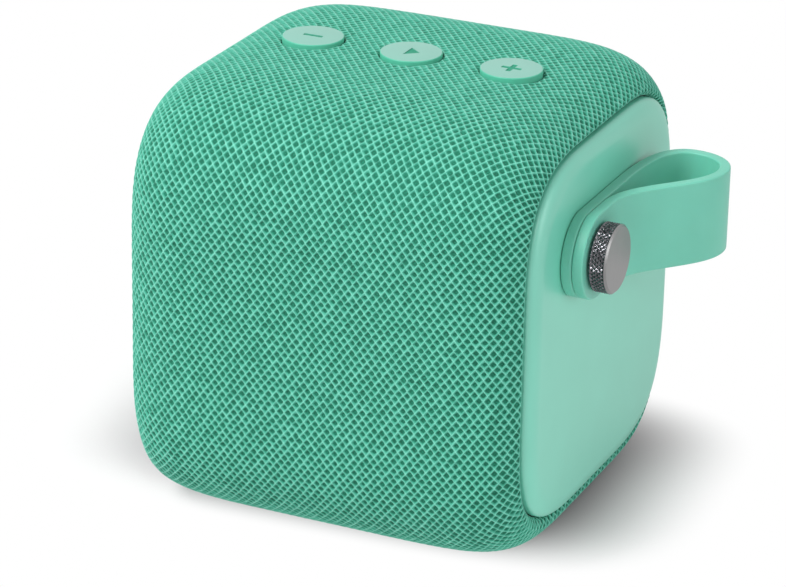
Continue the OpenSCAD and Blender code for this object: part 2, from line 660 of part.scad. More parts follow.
// Driver, in its own frame: the baffle's face is z = 0 and the sound leaves along +z
magnet_r = 14;
pole_r = 6.2;
coil_gap = 1.2;
plate_top = -10;
plate_t = 2.5;
magnet_t = 6;
back_plate_t = 2.5;
former_r = pole_r + 0.25;
module driver_frame() color("gray") front_speaker() difference() {
    rotate_extrude() polygon([[cone_r + 4, gasket_t], [frame_r, gasket_t], [frame_r, gasket_t + flange_t],
        [cone_r + 3.2, gasket_t + flange_t], [cone_r + 3.2, gasket_t], [15.2, -7.5], [14.4, plate_top + 1],
        [pole_r + coil_gap + 0.8, plate_top + 1], [pole_r + coil_gap + 0.8, plate_top],
        [15.2, plate_top], [17.4, -7.9]]);
    four_round(0) translate([12, -3.5, -9.5]) cube([13, 7, 9]);
    four_round(speaker_screw_r) cylinder(r = 1.1, h = 9);
}
module driver_plate() color("silver") front_speaker()
    ring(magnet_r - 1, pole_r + coil_gap, plate_top - plate_t, plate_t);
module driver_magnet() color("#303030") front_speaker()
    ring(magnet_r, pole_r + coil_gap + 1.5, plate_top - plate_t - magnet_t, magnet_t);
yoke_z = plate_top - plate_t - magnet_t - back_plate_t;
module driver_yoke() color("silver") front_speaker() translate([0, 0, yoke_z]) {
    cylinder(r = magnet_r - 1, h = back_plate_t);
    cylinder(r = pole_r, h = back_plate_t + magnet_t + plate_t);
}
former_t = 0.15;
former_z = plate_top - plate_t - 2.5;
former_top = -4.2;
winding_t = 0.5;
winding_l = 5;
module voice_coil() color("peru") front_speaker() {
    ring(former_r + former_t, former_r, former_z, former_top - former_z);
    ring(former_r + 0.1 + winding_t, former_r + 0.1, plate_top - plate_t - 1.2, winding_l);
}
cone_base = -4.9;
cone_top = 1.2;
cone_t = 0.5;
cone_neck_r = former_r + 0.2;
module driver_cone() color("#3a3a3a") front_speaker() rotate_extrude() polygon([
    [cone_neck_r, cone_base], [cone_r, cone_top], [cone_r, cone_top + cone_t],
    [cone_neck_r, cone_base + cone_t + 0.1]]);
cap_r = 8.6;
cap_rise = 2.6;
cap_t = 0.4;
cone_slope = (cone_top - cone_base - 0.1)/(cone_r - former_r - 0.2);
cap_z = cone_base + 0.6 + (cap_r - former_r - 0.2)*cone_slope + glue_gap;
function dome(r, z) = [r, z + cap_rise*(1 - pow(r/cap_r, 2))];
module dust_cap() color("#2a2a2a") front_speaker() rotate_extrude() polygon(concat(
    [for (i = [0:8]) dome(cap_r*i/8, cap_z)], [for (i = [8:-1:0]) dome(cap_r*i/8, cap_z + cap_t)]));
module half_roll(z) rotate_extrude() translate([cone_r - 0.6 + roll_r, z]) {
    intersection() {
        difference() {
            circle(r = roll_r);
            circle(r = roll_r - 0.5);
        }
        translate([-10, 0]) square([20, 10]);
    }
    translate([roll_r - 0.5, 0]) square([1.2, 0.5]);
    translate([-roll_r - 1, 0]) square([1.5, 0.5]);
}
module driver_surround() color("#1f1f1f") front_speaker() half_roll(gasket_t + flange_t + glue_gap);
spider_z = -6.6;
module driver_spider() color("goldenrod") front_speaker() rotate_extrude() polygon(concat(
    [for (i = [0:16]) [former_r + 0.2 + i*0.5, spider_z + 0.45*sin(i*90)]],
    [for (i = [16:-1:0]) [former_r + 0.2 + i*0.5, spider_z + 0.3 + 0.45*sin(i*90)]]));
module speaker_gaskets() color("black") speaker_places() difference() {
    ring(frame_r, frame_r - 3, glue_gap, gasket_t - 2*glue_gap);
    four_round(speaker_screw_r) translate([0, 0, -1]) cylinder(r = 1, h = 9);
}
module speaker_screws() color("silver") speaker_places() four_round(speaker_screw_r) {
    translate([0, 0, gasket_t + flange_t]) cylinder(r = 1.35, h = 1);
    translate([0, 0, -baffle_t])
        cylinder(r = speaker_pilot_r - 0.05, h = baffle_t + gasket_t + flange_t + 0.1);
}
module radiator_frame() color("gray") rear_speaker() difference() {
    ring(frame_r, cone_r + 3.2, gasket_t, flange_t);
    four_round(speaker_screw_r) cylinder(r = 1.1, h = 9);
}
module radiator_surround() color("#1f1f1f") rear_speaker() half_roll(gasket_t + flange_t + glue_gap);
module radiator_plate() color("#3a3a3a") rear_speaker() {
    translate([0, 0, gasket_t + flange_t - 1.5]) cylinder(r = cone_r, h = 1.5);
    translate([0, 0, gasket_t + flange_t - 4]) cylinder(r = 10, h = 3);
}

// Wires, as tubes along points chosen by hand; `side` is a direction that no stretch runs along
function unit(v) = v/norm(v);
function tangent(p, i) = unit(p[min(i + 1, len(p) - 1)] - p[max(i - 1, 0)]);
function smooth(p, n) = concat([for (i = [0:len(p) - 2], k = [0:n - 1])
    let (a = p[max(i - 1, 0)], b = p[i], c = p[i + 1], d = p[min(i + 2, len(p) - 1)], t = k/n)
        0.5*(2*b + (c - a)*t + (2*a - 5*b + 4*c - d)*t*t + (3*b - a - 3*c + d)*t*t*t)],
    [p[len(p) - 1]]);
module tube(path, rx, ry, side, sides = 8) {
    points = [for (i = [0:len(path) - 1])
        let (t = tangent(path, i), v = unit(cross(t, side)), u = cross(v, t))
        for (k = [0:sides - 1]) path[i] + rx*cos(360*k/sides)*u + ry*sin(360*k/sides)*v];
    sides_f = [for (i = [0:len(path) - 2], k = [0:sides - 1])
        let (a = i*sides + k, b = i*sides + (k + 1)%sides, c = b + sides, d = a + sides)
            each [[a, b, c], [a, c, d]]];
    polyhedron(points, concat(sides_f, [[for (k = [sides - 1:-1:0]) k],
        [for (k = [0:sides - 1]) (len(path) - 1)*sides + k]]), convexity = 8);
}
wire_r = 0.8;
speaker_wire_y = cab_front + baffle_in + 16;
speaker_wire_start = [12, board_front + 22, board_top + wire_r];
speaker_wire_end = [6, speaker_wire_y, mid_z - magnet_r - wire_r];
module speaker_wires() color("firebrick") for (s = [0, 1]) translate([3*s, 0, 0])
    tube(smooth([speaker_wire_start, speaker_wire_start + [0, 3, 5], speaker_wire_end + [0, 4, -8],
        speaker_wire_end + [0, 0, -1]], 5), wire_r, wire_r, [1, 0, 0]);
battery_wire_start = [board_left + board_l - 8, board_front + board_w - 12, board_top + wire_r];
battery_wire_end = [cell_l/2 + 1 + wire_r, cell_y - 1, cell_z + 3];
module battery_wires() color("black") for (s = [0, 1])
    let (side_by_side = [0, -2.6*s, 0], one_above = [0, 0, 2.2*s])
        tube(smooth([battery_wire_start + side_by_side, battery_wire_start + [4, 0, 0.6] + side_by_side,
            battery_wire_start + [9, 1, 3] + one_above, battery_wire_end + [3, -9, 3] + one_above,
            battery_wire_end + [3, -4, 1] + one_above, battery_wire_end + [1.8, 0, 0] + one_above,
            battery_wire_end + one_above], 4), wire_r, wire_r, [0, 0, 1]);
ribbon_x = board_left + board_l - 17;
ribbon_y = board_front + board_w;
ribbon_half_w = 4;
ribbon_half_t = 0.3;
module button_ribbon() color("sienna") translate([ribbon_x, 0, 0])
    tube(smooth([[0, ribbon_y - 3, board_top + 0.4], [0, ribbon_y, board_top + 3],
        [0, ribbon_y - 2, board_top + 12], [0, button_back - 2, mid_z],
        [0, button_back - 3, top_board_z - 10], [0, button_back, top_board_z - 0.5]], 4),
        ribbon_half_w, ribbon_half_t, [1, 0, 0]);

fabric_sleeve();
cabinet_body();
cabinet_back();
cabinet_seal();
cabinet_screws();
front_grille();
rear_grille();
right_panel();
left_panel();
panel_tapes();
strap();
strap_screw();
screw_washer();
strap_insert();
foot_ring();
minus_button();
play_button();
plus_button();
minus_plunger();
play_plunger();
plus_plunger();
button_membrane();
tact_switches();
button_board();
board_screws();
main_board();
bluetooth_module();
amplifier_chip();
power_inductor();
capacitors();
usb_port();
aux_jack();
power_button();
pairing_button();
power_plunger();
pairing_plunger();
status_led();
light_pipe();
port_flap();
battery_cell();
battery_cradle();
driver_frame();
driver_magnet();
driver_yoke();
driver_plate();
driver_cone();
driver_surround();
driver_spider();
dust_cap();
voice_coil();
speaker_gaskets();
speaker_screws();
radiator_frame();
radiator_surround();
radiator_plate();
speaker_wires();
battery_wires();
button_ribbon();
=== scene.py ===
# %% [markdown]
# # A small fabric-wrapped speaker
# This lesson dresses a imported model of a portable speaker: a soft cube in knitted mesh, a
# rubberised panel on each side, three caps on top and a silicone strap under a knurled screw.
# Every shape is worked out with numpy as a surface of two parameters. The model's own bodies
# stay where they are: the new pieces ride on them and replace the plain ones.

# %% The frame and the tools
import math

import bmesh
import bpy
import numpy as np
from mathutils import Matrix, Vector


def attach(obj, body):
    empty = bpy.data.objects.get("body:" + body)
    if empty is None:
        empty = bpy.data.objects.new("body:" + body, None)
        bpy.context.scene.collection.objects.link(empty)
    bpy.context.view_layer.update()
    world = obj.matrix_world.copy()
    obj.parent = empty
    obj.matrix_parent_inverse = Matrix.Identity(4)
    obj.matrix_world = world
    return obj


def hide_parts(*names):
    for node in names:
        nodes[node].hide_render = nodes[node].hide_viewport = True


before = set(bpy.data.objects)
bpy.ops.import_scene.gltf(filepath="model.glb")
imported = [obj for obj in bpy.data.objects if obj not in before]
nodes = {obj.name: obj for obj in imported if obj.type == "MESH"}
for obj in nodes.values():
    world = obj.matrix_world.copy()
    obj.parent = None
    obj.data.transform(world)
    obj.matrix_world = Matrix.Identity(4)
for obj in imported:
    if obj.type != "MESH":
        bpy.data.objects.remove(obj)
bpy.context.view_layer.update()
scene = bpy.context.scene
MM = 0.001

# %% [markdown]
# ## The camera
# A product is shown from well back with a long lens, so that the cube's edges stay nearly
# parallel. The camera stands at an azimuth and an elevation round a target inside the
# speaker, is rolled a little, and its picture is shifted to frame the strap.

# %% Camera
AZIMUTH = math.radians(24.06)
ELEVATION = math.radians(22.17)
ROLL = math.radians(1.19)
CAMERA_DISTANCE = 0.7783
TARGET = np.array([0, 0, 0.04903])

back = np.array([math.sin(AZIMUTH) * math.cos(ELEVATION), -math.cos(AZIMUTH) * math.cos(ELEVATION),
                 math.sin(ELEVATION)])
level_right = np.array([math.cos(AZIMUTH), math.sin(AZIMUTH), 0])
level_up = np.cross(back, level_right)
right = math.cos(ROLL) * level_right + math.sin(ROLL) * level_up
up = math.cos(ROLL) * level_up - math.sin(ROLL) * level_right
camera = bpy.data.objects.new("camera", bpy.data.cameras.new("camera"))
camera.matrix_world = Matrix.Translation(TARGET + back * CAMERA_DISTANCE) @ Matrix(
    np.column_stack([right, up, back])).to_4x4()
camera.data.lens = 164.2
camera.data.shift_x = -0.0148
camera.data.shift_y = -0.03
scene.collection.objects.link(camera)
scene.camera = camera
print("camera", [round(c, 3) for c in camera.location])

# %% [markdown]
# ## Colours and shader nodes
# Colours are chosen as sRGB hex values, as a paint chart gives them, and Blender's shaders want
# linear light, so one function turns the one into the other. Another adds a shader node with its
# settings and its links, which keeps each finish short to read.

# %% Colour and node helpers
def linear(hex_colour):
    """sRGB hex to linear red, green, blue and alpha: the standard curve, piece by piece."""
    srgb = np.array([int(hex_colour[i:i + 2], 16) for i in (1, 3, 5)]) / 255
    light = np.where(srgb <= 0.04045, srgb / 12.92, ((srgb + 0.055) / 1.055) ** 2.4)
    return (*light.tolist(), 1.0)


def add(tree, kind, links=None, **settings):
    """Adds a node. A setting is one of its properties, or an input by its name; links feed inputs."""
    made = tree.nodes.new("ShaderNode" + kind)
    for name, value in settings.items():
        if hasattr(made, name):
            setattr(made, name, value)
        else:
            made.inputs[name.replace("_", " ")].default_value = value
    for name, source in (links or {}).items():
        tree.links.new(source, made.inputs[name])
    return made


def new_material(name, **settings):
    """A material with a Principled shader, and its tree."""
    material = bpy.data.materials.new(name)
    material.use_nodes = True
    tree = material.node_tree
    tree.nodes.clear()
    shader = add(tree, "BsdfPrincipled", **settings)
    add(tree, "OutputMaterial", {"Surface": shader.outputs[0]})
    return material, tree, shader


def feed(node, **sources):
    """Links sources to a node's inputs by name."""
    for name, source in sources.items():
        node.id_data.links.new(source, node.inputs[name.replace("_", " ")])


def ramp(tree, source, stops):
    """A colour ramp from (position, hex) stops."""
    made = add(tree, "ValToRGB", {"Fac": source})
    elements = made.color_ramp.elements
    while len(elements) < len(stops):
        elements.new(0.5)
    for element, (position, hex_colour) in zip(elements, stops):
        element.position = position
        element.color = linear(hex_colour)
    return made.outputs["Color"]


def grained(name, base, fade, clouds, grain, strength, depth, **settings):
    """A finish whose colour drifts between two shades with slow noise, under a fine raised grain.
    `clouds` is the slow noise's scale, its detail, and the level at which the first shade ends."""
    material, tree, shader = new_material(name, **settings)
    scale, detail, level = clouds
    place = add(tree, "TexCoord").outputs["Object"]
    cloud = add(tree, "TexNoise", {"Vector": place}, Scale=scale, Detail=detail).outputs["Fac"]
    colour = ramp(tree, cloud, [(level, fade), (1 - level, base)])
    fine = add(tree, "TexNoise", {"Vector": place}, Scale=grain, Detail=2).outputs["Fac"]
    bump = add(tree, "Bump", {"Height": fine}, Strength=strength, Distance=depth)
    feed(shader, Base_Color=colour, Normal=bump.outputs[0])
    return material


def seen_by(tree, *rays):
    """1 for these kinds of ray, and 0 for the others."""
    path = add(tree, "LightPath").outputs
    seen = path[rays[0]]
    for ray in rays[1:]:
        seen = add(tree, "Math", {0: seen, 1: path[ray]}, operation="MAXIMUM").outputs[0]
    return seen


# %% [markdown]
# ## Putting meshes together
# A mesh is an array of points and arrays of faces. `foreach_set` hands whole arrays to Blender,
# which matters here: the knitted wrap alone has hundreds of thousands of faces. A closed shape can
# be put together in any order, because one pass joins its doubled points and turns its faces
# outwards. Every piece then rides on a body, takes a finish, and hides the plain nodes that it
# stands for.

# %% Mesh helpers
def mesh_of(points, *faces):
    """A mesh from an (n, 3) array in millimetres and arrays of triangles or quads."""
    mesh = bpy.data.meshes.new("mesh")
    corners = np.concatenate([f.ravel() for f in faces]).astype(np.int32)
    sizes = np.concatenate([np.full(len(f), f.shape[1]) for f in faces])
    mesh.vertices.add(len(points))
    mesh.vertices.foreach_set("co", (points * MM).astype(np.float32).ravel())
    mesh.loops.add(len(corners))
    mesh.loops.foreach_set("vertex_index", corners)
    mesh.polygons.add(len(sizes))
    mesh.polygons.foreach_set("loop_start", (np.cumsum(sizes) - sizes).astype(np.int32))
    mesh.update(calc_edges=True)
    return mesh


def closed(mesh):
    """Joins doubled points of a closed mesh and turns its faces outwards."""
    work = bmesh.new()
    work.from_mesh(mesh)
    bmesh.ops.remove_doubles(work, verts=work.verts, dist=1e-7)
    bmesh.ops.dissolve_degenerate(work, edges=work.edges, dist=1e-8)
    bmesh.ops.recalc_face_normals(work, faces=work.faces)
    work.to_mesh(mesh)
    work.free()
    return mesh


def piece(name, mesh, body, material, replaces=(), sharp=35):
    """Links a mesh as a piece that rides on a body; edges over `sharp` degrees stay crisp."""
    mesh.name = name
    made = bpy.data.objects.new(name, mesh)
    scene.collection.objects.link(made)
    mesh.materials.append(material)
    mesh.polygons.foreach_set("use_smooth", np.ones(len(mesh.polygons), dtype=bool))
    if sharp:
        mesh.set_sharp_from_angle(angle=math.radians(sharp))
    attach(made, body)
    if replaces:
        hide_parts(*replaces)
    return made


def second_finish(made, material, axis, level):
    """Gives a second finish to the faces whose middles lie beyond a level, in millimetres."""
    made.data.materials.append(material)
    middles = np.zeros(len(made.data.polygons) * 3)
    made.data.polygons.foreach_get("center", middles)
    made.data.polygons.foreach_set("material_index", (middles[axis::3] > level * MM).astype(np.int32))


def grid_quads(rows, columns, close_rows=False):
    """The quads of a grid of points stored row by row. Each row is a closed ring."""
    i = np.arange(rows if close_rows else rows - 1)[:, None]
    j = np.arange(columns)[None, :]
    i2, j2 = (i + 1) % rows, (j + 1) % columns
    quads = i * columns + j, i * columns + j2, i2 * columns + j2, i2 * columns + j
    return np.stack(quads, -1).reshape(-1, 4)


def loft(rings, close_rows=False):
    """Skins a stack of closed rings, an (m, n, 3) array. Each end is closed by a fan to the middle
    of its ring, unless the last ring joins the first one."""
    m, n = rings.shape[:2]
    quads = grid_quads(m, n, close_rows)
    if close_rows:
        return closed(mesh_of(rings.reshape(-1, 3), quads))
    points = np.concatenate([rings.reshape(-1, 3), rings[[0, -1]].mean(1)])
    j = np.arange(n)
    fans = [np.stack([np.full(n, m * n + k), start + j, start + (j + 1) % n], 1)
            for k, start in ((0, 0), (1, (m - 1) * n))]
    return closed(mesh_of(points, quads, *fans))


def turned(profile, origin, axis, steps=96, ring=False):
    """A turned shape. Profile points (distance along the axis, radius) are carried round it:
    point = origin + a*axis + r*(cos t*side + sin t*over). A ring's profile is a closed one."""
    axis = np.array(axis, float)
    side = np.roll(axis, 1)
    over = np.cross(axis, side)
    along, radius = np.array(profile, float).T[:, :, None, None]
    t = np.linspace(0, 2 * np.pi, steps, endpoint=False)[None, :, None]
    return loft(origin + along * axis + radius * (np.cos(t) * side + np.sin(t) * over), ring)


def arc(radius, angles):
    """Points on a circle about the origin."""
    return radius * np.stack([np.cos(angles), np.sin(angles)], 1)


def cubic(a, b, c, d, steps):
    """A cubic curve through a and d that leaves towards b and arrives from c."""
    t = np.linspace(0, 1, steps)[:, None]
    a, b, c, d = (np.array(p) for p in (a, b, c, d))
    return (1 - t) ** 3 * a + 3 * (1 - t) ** 2 * t * b + 3 * (1 - t) * t * t * c + t ** 3 * d


def lengths(curve):
    """The distance along a chain of points up to each of them."""
    return np.concatenate([[0], np.cumsum(np.linalg.norm(np.diff(curve, axis=0), axis=1))])


def fillet(profile, radius, steps=5):
    """Rounds the inner points of a profile: near a corner it follows the quadratic curve that
    touches both legs, `radius` away from the corner or half a leg where that is shorter."""
    p = np.array(profile, float)
    a, b = (p[1:-1] + np.minimum(radius / np.linalg.norm(leg, axis=1), 0.5)[:, None] * leg
            for leg in (p[:-2] - p[1:-1], p[2:] - p[1:-1]))
    t = np.linspace(0, 1, steps)[None, :, None]
    curve = (1 - t) ** 2 * a[:, None] + 2 * t * (1 - t) * p[1:-1, None] + t ** 2 * b[:, None]
    return np.concatenate([p[:1], curve.reshape(-1, p.shape[1]), p[-1:]])


def carve(made, *cutters):
    """Cuts each closed mesh out of a piece with an exact Boolean, and applies it."""
    for mesh in cutters:
        cutter = bpy.data.objects.new("cutter", mesh)
        scene.collection.objects.link(cutter)
        modifier = made.modifiers.new("cut", "BOOLEAN")
        modifier.operation = "DIFFERENCE"
        modifier.solver = "EXACT"
        modifier.object = cutter
        bpy.context.view_layer.objects.active = made
        bpy.ops.object.modifier_apply(modifier=modifier.name)
        bpy.data.objects.remove(cutter)
    made.data.set_sharp_from_angle(angle=math.radians(30))


def box_outline(y, z, radius, steps=6):
    """A rectangle with round corners, anticlockwise; y and z are its (low, high) limits."""
    t = np.linspace(0, np.pi / 2, steps)
    y0, y1, z0, z1 = y[0] + radius, y[1] - radius, z[0] + radius, z[1] - radius
    corners = (y1, z1), (y0, z1), (y0, z0), (y1, z0)
    return np.concatenate([c + arc(radius, t + k * np.pi / 2) for k, c in enumerate(corners)])


def stacked(rings, axis=0, close_rows=False):
    """A loft of flat outlines, each given as (level on this axis, outline in the two others)."""
    return loft(np.stack([np.insert(outline, axis, level, 1) for level, outline in rings]), close_rows)


# %% [markdown]
# ## The form of the wrap
# The cube is a rounded square drawn in towards both sides. Its section is made of superellipse
# corners, and a second, squarer superellipse draws it in; at the side it rolls over and disappears
# beside the panel. That would be slow for each point of a fine knit, so it is done once on a dense
# grid: u is the length across the wrap, v the length round it, both as the cloth measures them, and
# later pieces look points up in that table.

# %% Sizes of the body, in millimetres
HALF_W, HALF_D, HALF_H, MID_Z = 49.5, 48.0, 48.6, 49.4
SIDE_REACH, SIDE_POWER = 44.0, 5.0
WRAP_REACH = 31.0
TOP_POWER, BOTTOM_POWER, PANEL_POWER = 2.72, 2.91, 3.2
BOTTOM_BULGE, BOTTOM_SWELL = 0.37, 1.0
PANEL_INSET = 8.4
SEAM_INSET = 8.26
ROLL_INSET = 6.75


# %% Arc lengths of the corners, and the section at any inset
def superellipse(power, steps=600):
    """A quarter of |y|^p + |z|^p = 1 from (1, 0) to (0, 1), and its length up to each point."""
    t = np.linspace(0, np.pi / 2, steps)
    curve = np.stack([np.cos(t) ** (2 / power), np.sin(t) ** (2 / power)], 1)
    return curve, lengths(curve)


def corner(base, bulge, f, straight, inset):
    """Half a side of the section up to its corner's middle: f runs 0 to 1 along it. The corner's
    power goes from `base` to the panel's as it is drawn in, b = inset/border, with `bulge` added
    half way: power = base + (panel - base)*b + 4*bulge*b*(1 - b). Cloth is squeezed together
    towards the corner only: s = f*length - shortfall*f^3."""
    b = min(inset / SEAM_INSET, 1)
    curve, length = superellipse(base + (PANEL_POWER - base) * b + 4 * bulge * b * (1 - b))
    whole = superellipse(base)[1][-1] * WRAP_REACH
    short = inset + (whole - length[-1] * WRAP_REACH) / 2
    s = f * (straight + whole / 2) - short * f ** 3
    turn = np.clip(s - (straight - inset), 0, None) / WRAP_REACH
    far, near = (WRAP_REACH * np.interp(turn, length, curve[:, k]) for k in (1, 0))
    return np.minimum(s, straight - inset) + far, near - inset


def section(inset, share):
    """The wrap's section drawn in by `inset`. `share` runs 0 to 8 round it, a half side to each
    number: from the top's middle to a corner, on to the back's middle, and so round. Below the
    middle the rolled edge is fuller: it hangs lower by swell*sin(pi*(inset/seam)^1.7)*(z/half)^2."""
    eighth = np.floor(share).astype(int) % 8
    f = share - np.floor(share)
    f = np.where(eighth % 2 == 0, f, 1 - f)
    along_top = np.isin(eighth, (0, 7, 3, 4))
    upper = np.isin(eighth, (0, 1, 6, 7))
    straight = np.where(along_top, HALF_D, HALF_H) - WRAP_REACH
    halves = np.where(upper, corner(TOP_POWER, 0, f, straight, inset),
                      corner(BOTTOM_POWER, BOTTOM_BULGE, f, straight, inset))
    main, other = halves[0], halves[1] + np.where(along_top, HALF_H, HALF_D) - WRAP_REACH
    y = np.where(along_top, main, other) * np.where(eighth < 4, 1, -1)
    z = np.where(along_top, other, main)
    swell = BOTTOM_SWELL * math.sin(math.pi * (inset / SEAM_INSET) ** 1.7) * (z / HALF_H) ** 2
    return np.stack([y, MID_Z + np.where(upper, z, -z - swell)], 1)


# %% The profile across the wrap
def wrap_profile():
    """Points (x, inset) from the middle of the wrap to the seam: a flat, then x = a + R*sin^(2/p),
    inset = R*(1 - cos^(2/p)), then a cubic curve that rolls over the rim and runs inwards."""
    first = HALF_W - SIDE_REACH
    last = math.acos((1 - ROLL_INSET / SIDE_REACH) ** (SIDE_POWER / 2))
    t = last * np.linspace(0, 1, 200) ** (SIDE_POWER / 2)
    side = np.stack([first + SIDE_REACH * np.sin(t) ** (2 / SIDE_POWER),
                     SIDE_REACH * (1 - np.cos(t) ** (2 / SIDE_POWER))], 1)
    heading = (side[-1] - side[-2]) / np.linalg.norm(side[-1] - side[-2])
    rim = cubic(side[-1], side[-1] + 0.75 * heading, (44.3, SEAM_INSET), (43.3, SEAM_INSET), 24)
    return np.concatenate([[[0, 0]], side, rim[1:], [[42.7, SEAM_INSET]]])


profile = wrap_profile()
across = lengths(profile)
half_width = across[-1]
corner_lengths = WRAP_REACH * np.array([superellipse(p)[1][-1] for p in (TOP_POWER, BOTTOM_POWER)])
half_sides = (np.array([HALF_D, HALF_H, HALF_H, HALF_D, HALF_D, HALF_H, HALF_H, HALF_D]) - WRAP_REACH
              + corner_lengths[[0, 0, 1, 1, 1, 1, 0, 0]] / 2)
share_length = np.concatenate([[0], np.cumsum(half_sides)])
round_length = share_length[-1]
print(f"cloth: {2 * half_width:.1f} mm across, {round_length:.1f} mm round")

# %% The table of the wrap's surface
table_u = np.linspace(-half_width, half_width, 441)
table_share = np.linspace(0, 8, 1601)
table_x, table_inset = (np.interp(np.abs(table_u), across, profile[:, k]) for k in (0, 1))
table_points = np.stack([np.insert(section(inset, table_share % 8), 0, x, axis=1)
                         for x, inset in zip(table_x * np.sign(table_u), table_inset)])
step_u = np.gradient(table_points, axis=0)
step_v = np.roll(table_points[:, :-1], -1, axis=1) - np.roll(table_points[:, :-1], 1, axis=1)
step_v = np.concatenate([step_v, step_v[:, :1]], axis=1)
table_normals = np.cross(step_v, step_u)
table_normals /= np.linalg.norm(table_normals, axis=2, keepdims=True)
table_normals *= np.sign(table_normals[len(table_u) // 2, 0, 2])


def look_up(table, u, v):
    """Bilinear look-up: u in millimetres across from the middle, v in millimetres round."""
    share = np.interp(v % round_length, share_length, np.arange(9))
    a = np.clip((u + half_width) / (2 * half_width) * (len(table_u) - 1), 0, len(table_u) - 1.001)
    b = np.clip(share / 8 * (len(table_share) - 1), 0, len(table_share) - 1.001)
    i, j = a.astype(int), b.astype(int)
    f, g = (a - i)[..., None], (b - j)[..., None]
    return ((1 - f) * (1 - g) * table[i, j] + f * (1 - g) * table[i + 1, j]
            + (1 - f) * g * table[i, j + 1] + f * g * table[i + 1, j + 1])


print("surface table", table_points.shape, "reaches", table_points.reshape(-1, 3).max(0).round(2))


# %% [markdown]
# ## The knit
# The wrap is a thick open knit: strands cross in a lattice and leave a rounded diamond between
# them, through which a dark lining shows. A bump map would look flat at the edges, so the strands
# are modelled. Each cell is four small loops of eight points: the ridge that it shares with its
# neighbours, the strand's shoulder, the hole's edge and the foot of its wall. The cells are laid
# out as the cloth measures, and the look-up table bends them round the speaker.
# Each loop also carries a painted shade: deep green down in the holes, a painted highlight on the
# ridge.

# %% The lattice's size
KNIT_ROWS, KNIT_COLUMNS, KNIT_MARGIN = 147, 27, 0.15
knit_round = round_length / KNIT_ROWS
knit_across = (half_width - KNIT_MARGIN) / (KNIT_COLUMNS + 0.5)
print(f"a cell is {knit_across:.2f} by {knit_round:.2f} mm")

# %% Finish of the knit and its lining
# Painted shade and highlight: from the foot of a hole, up its wall and over the strand's shoulder, to
# the painted highlight on its ridge.
PAINTED_SHADE_TO_HIGHLIGHT = [(0.0, "#055e46"), (0.14, "#10765c"), (0.42, "#2c9279"), (0.72, "#4baa92"), (0.98, "#75c9b3")]
FLECK = 0.32


def knit_finish():
    """Thick matt yarn with painted light: a painted highlight where a strand stands up, painted
    shade, deep green, down in the holes, small uneven flecks and the fuzz of its fibres. The
    painted shade is stored on the mesh, in the attribute named knit_depth."""
    material, tree, shader = new_material("knitted mesh yarn", Roughness=0.78, Sheen_Weight=0.15,
                                          Sheen_Roughness=0.5)
    # The attribute named knit_depth holds each point's painted shade, low in the holes and high on the
    # ridge.
    depth = add(tree, "Attribute", attribute_name="knit_depth").outputs["Fac"]
    place = add(tree, "TexCoord").outputs["Object"]
    fleck = add(tree, "TexNoise", {"Vector": place}, Scale=900, Detail=3, Roughness=0.6).outputs["Fac"]
    uneven = add(tree, "Math", {0: fleck}, operation="MULTIPLY_ADD")
    uneven.inputs[1].default_value = FLECK
    uneven.inputs[2].default_value = -FLECK / 2
    mixed = add(tree, "Math", {0: depth, 1: uneven.outputs[0]}, operation="ADD", use_clamp=True)
    colour = ramp(tree, mixed.outputs[0], PAINTED_SHADE_TO_HIGHLIGHT)
    fibre = add(tree, "TexNoise", {"Vector": place}, Scale=4200, Detail=2, Roughness=0.7).outputs["Fac"]
    bump = add(tree, "Bump", {"Height": fibre}, Strength=0.35, Distance=8e-5)
    feed(shader, Base_Color=colour, Normal=bump.outputs[0])
    return material


def lining_finish():
    """The cloth behind the holes: a fine plain weave, almost without shine. Its dark green is partly
    the cloth's own colour and partly painted shade for the depth of the holes.
    """
    material, tree, shader = new_material("knit lining", Roughness=0.9)
    place = add(tree, "TexCoord").outputs["Object"]
    weave = add(tree, "TexNoise", {"Vector": place}, Scale=2600, Detail=1).outputs["Fac"]
    bump = add(tree, "Bump", {"Height": weave}, Strength=0.3, Distance=5e-5)
    # Dark green, partly as painted shade down in the holes.
    colour = ramp(tree, weave, [(0.3, "#075c46"), (0.7, "#167a60")])
    feed(shader, Base_Color=colour, Normal=bump.outputs[0])
    return material


knit_material = knit_finish()
lining_material = lining_finish()
print("finishes:", knit_material.name, "and", lining_material.name)

# %% Points of the lattice
BUTTON_X = np.array([-23.1, 0.0, 23.1])
BUTTON_Y = 1.1
BUTTON_HOLE = 6.85
HOLE_LIP = 0.9


def settle_round_buttons(points):
    """Bends the cloth down round the three button holes. Within a lip's width of a hole it sinks as
    the square of the nearness, and what is inside is drawn to the rim and further down."""
    for x in BUTTON_X:
        offset = points[:, :2] - (x, BUTTON_Y)
        distance = np.linalg.norm(offset, axis=1)
        near = (distance < BUTTON_HOLE + HOLE_LIP) & (points[:, 2] > MID_Z)
        inside = np.clip(BUTTON_HOLE - distance, 0, None)
        lip = np.clip(1 - (distance - BUTTON_HOLE) / HOLE_LIP, 0, 1)
        pushed = offset * (np.maximum(distance, BUTTON_HOLE) / np.maximum(distance, 1e-6))[:, None]
        points[near, :2] = pushed[near] + (x, BUTTON_Y)
        points[near, 2] -= (0.25 * lip ** 2 + np.minimum(0.5 * inside, 0.3))[near]
    return points


def unevenness(u, v):
    """Soft lumps of a hand-stretched cloth, and smaller ones of uneven yarn: sums of slow sines."""
    slow = np.sin(u / 5.3 + 1.3 * np.sin(v / 9.1)) * np.sin(v / 6.7 + 0.8 * np.sin(u / 7.9))
    fast = np.sin(2.1 * u + 1.7 * np.sin(0.9 * v)) * np.sin(1.8 * v + 1.3 * np.sin(1.1 * u))
    return 0.02 * slow + 0.016 * fast


RIM_WIDTH, RIM_BLEND = 3.2, 1.5


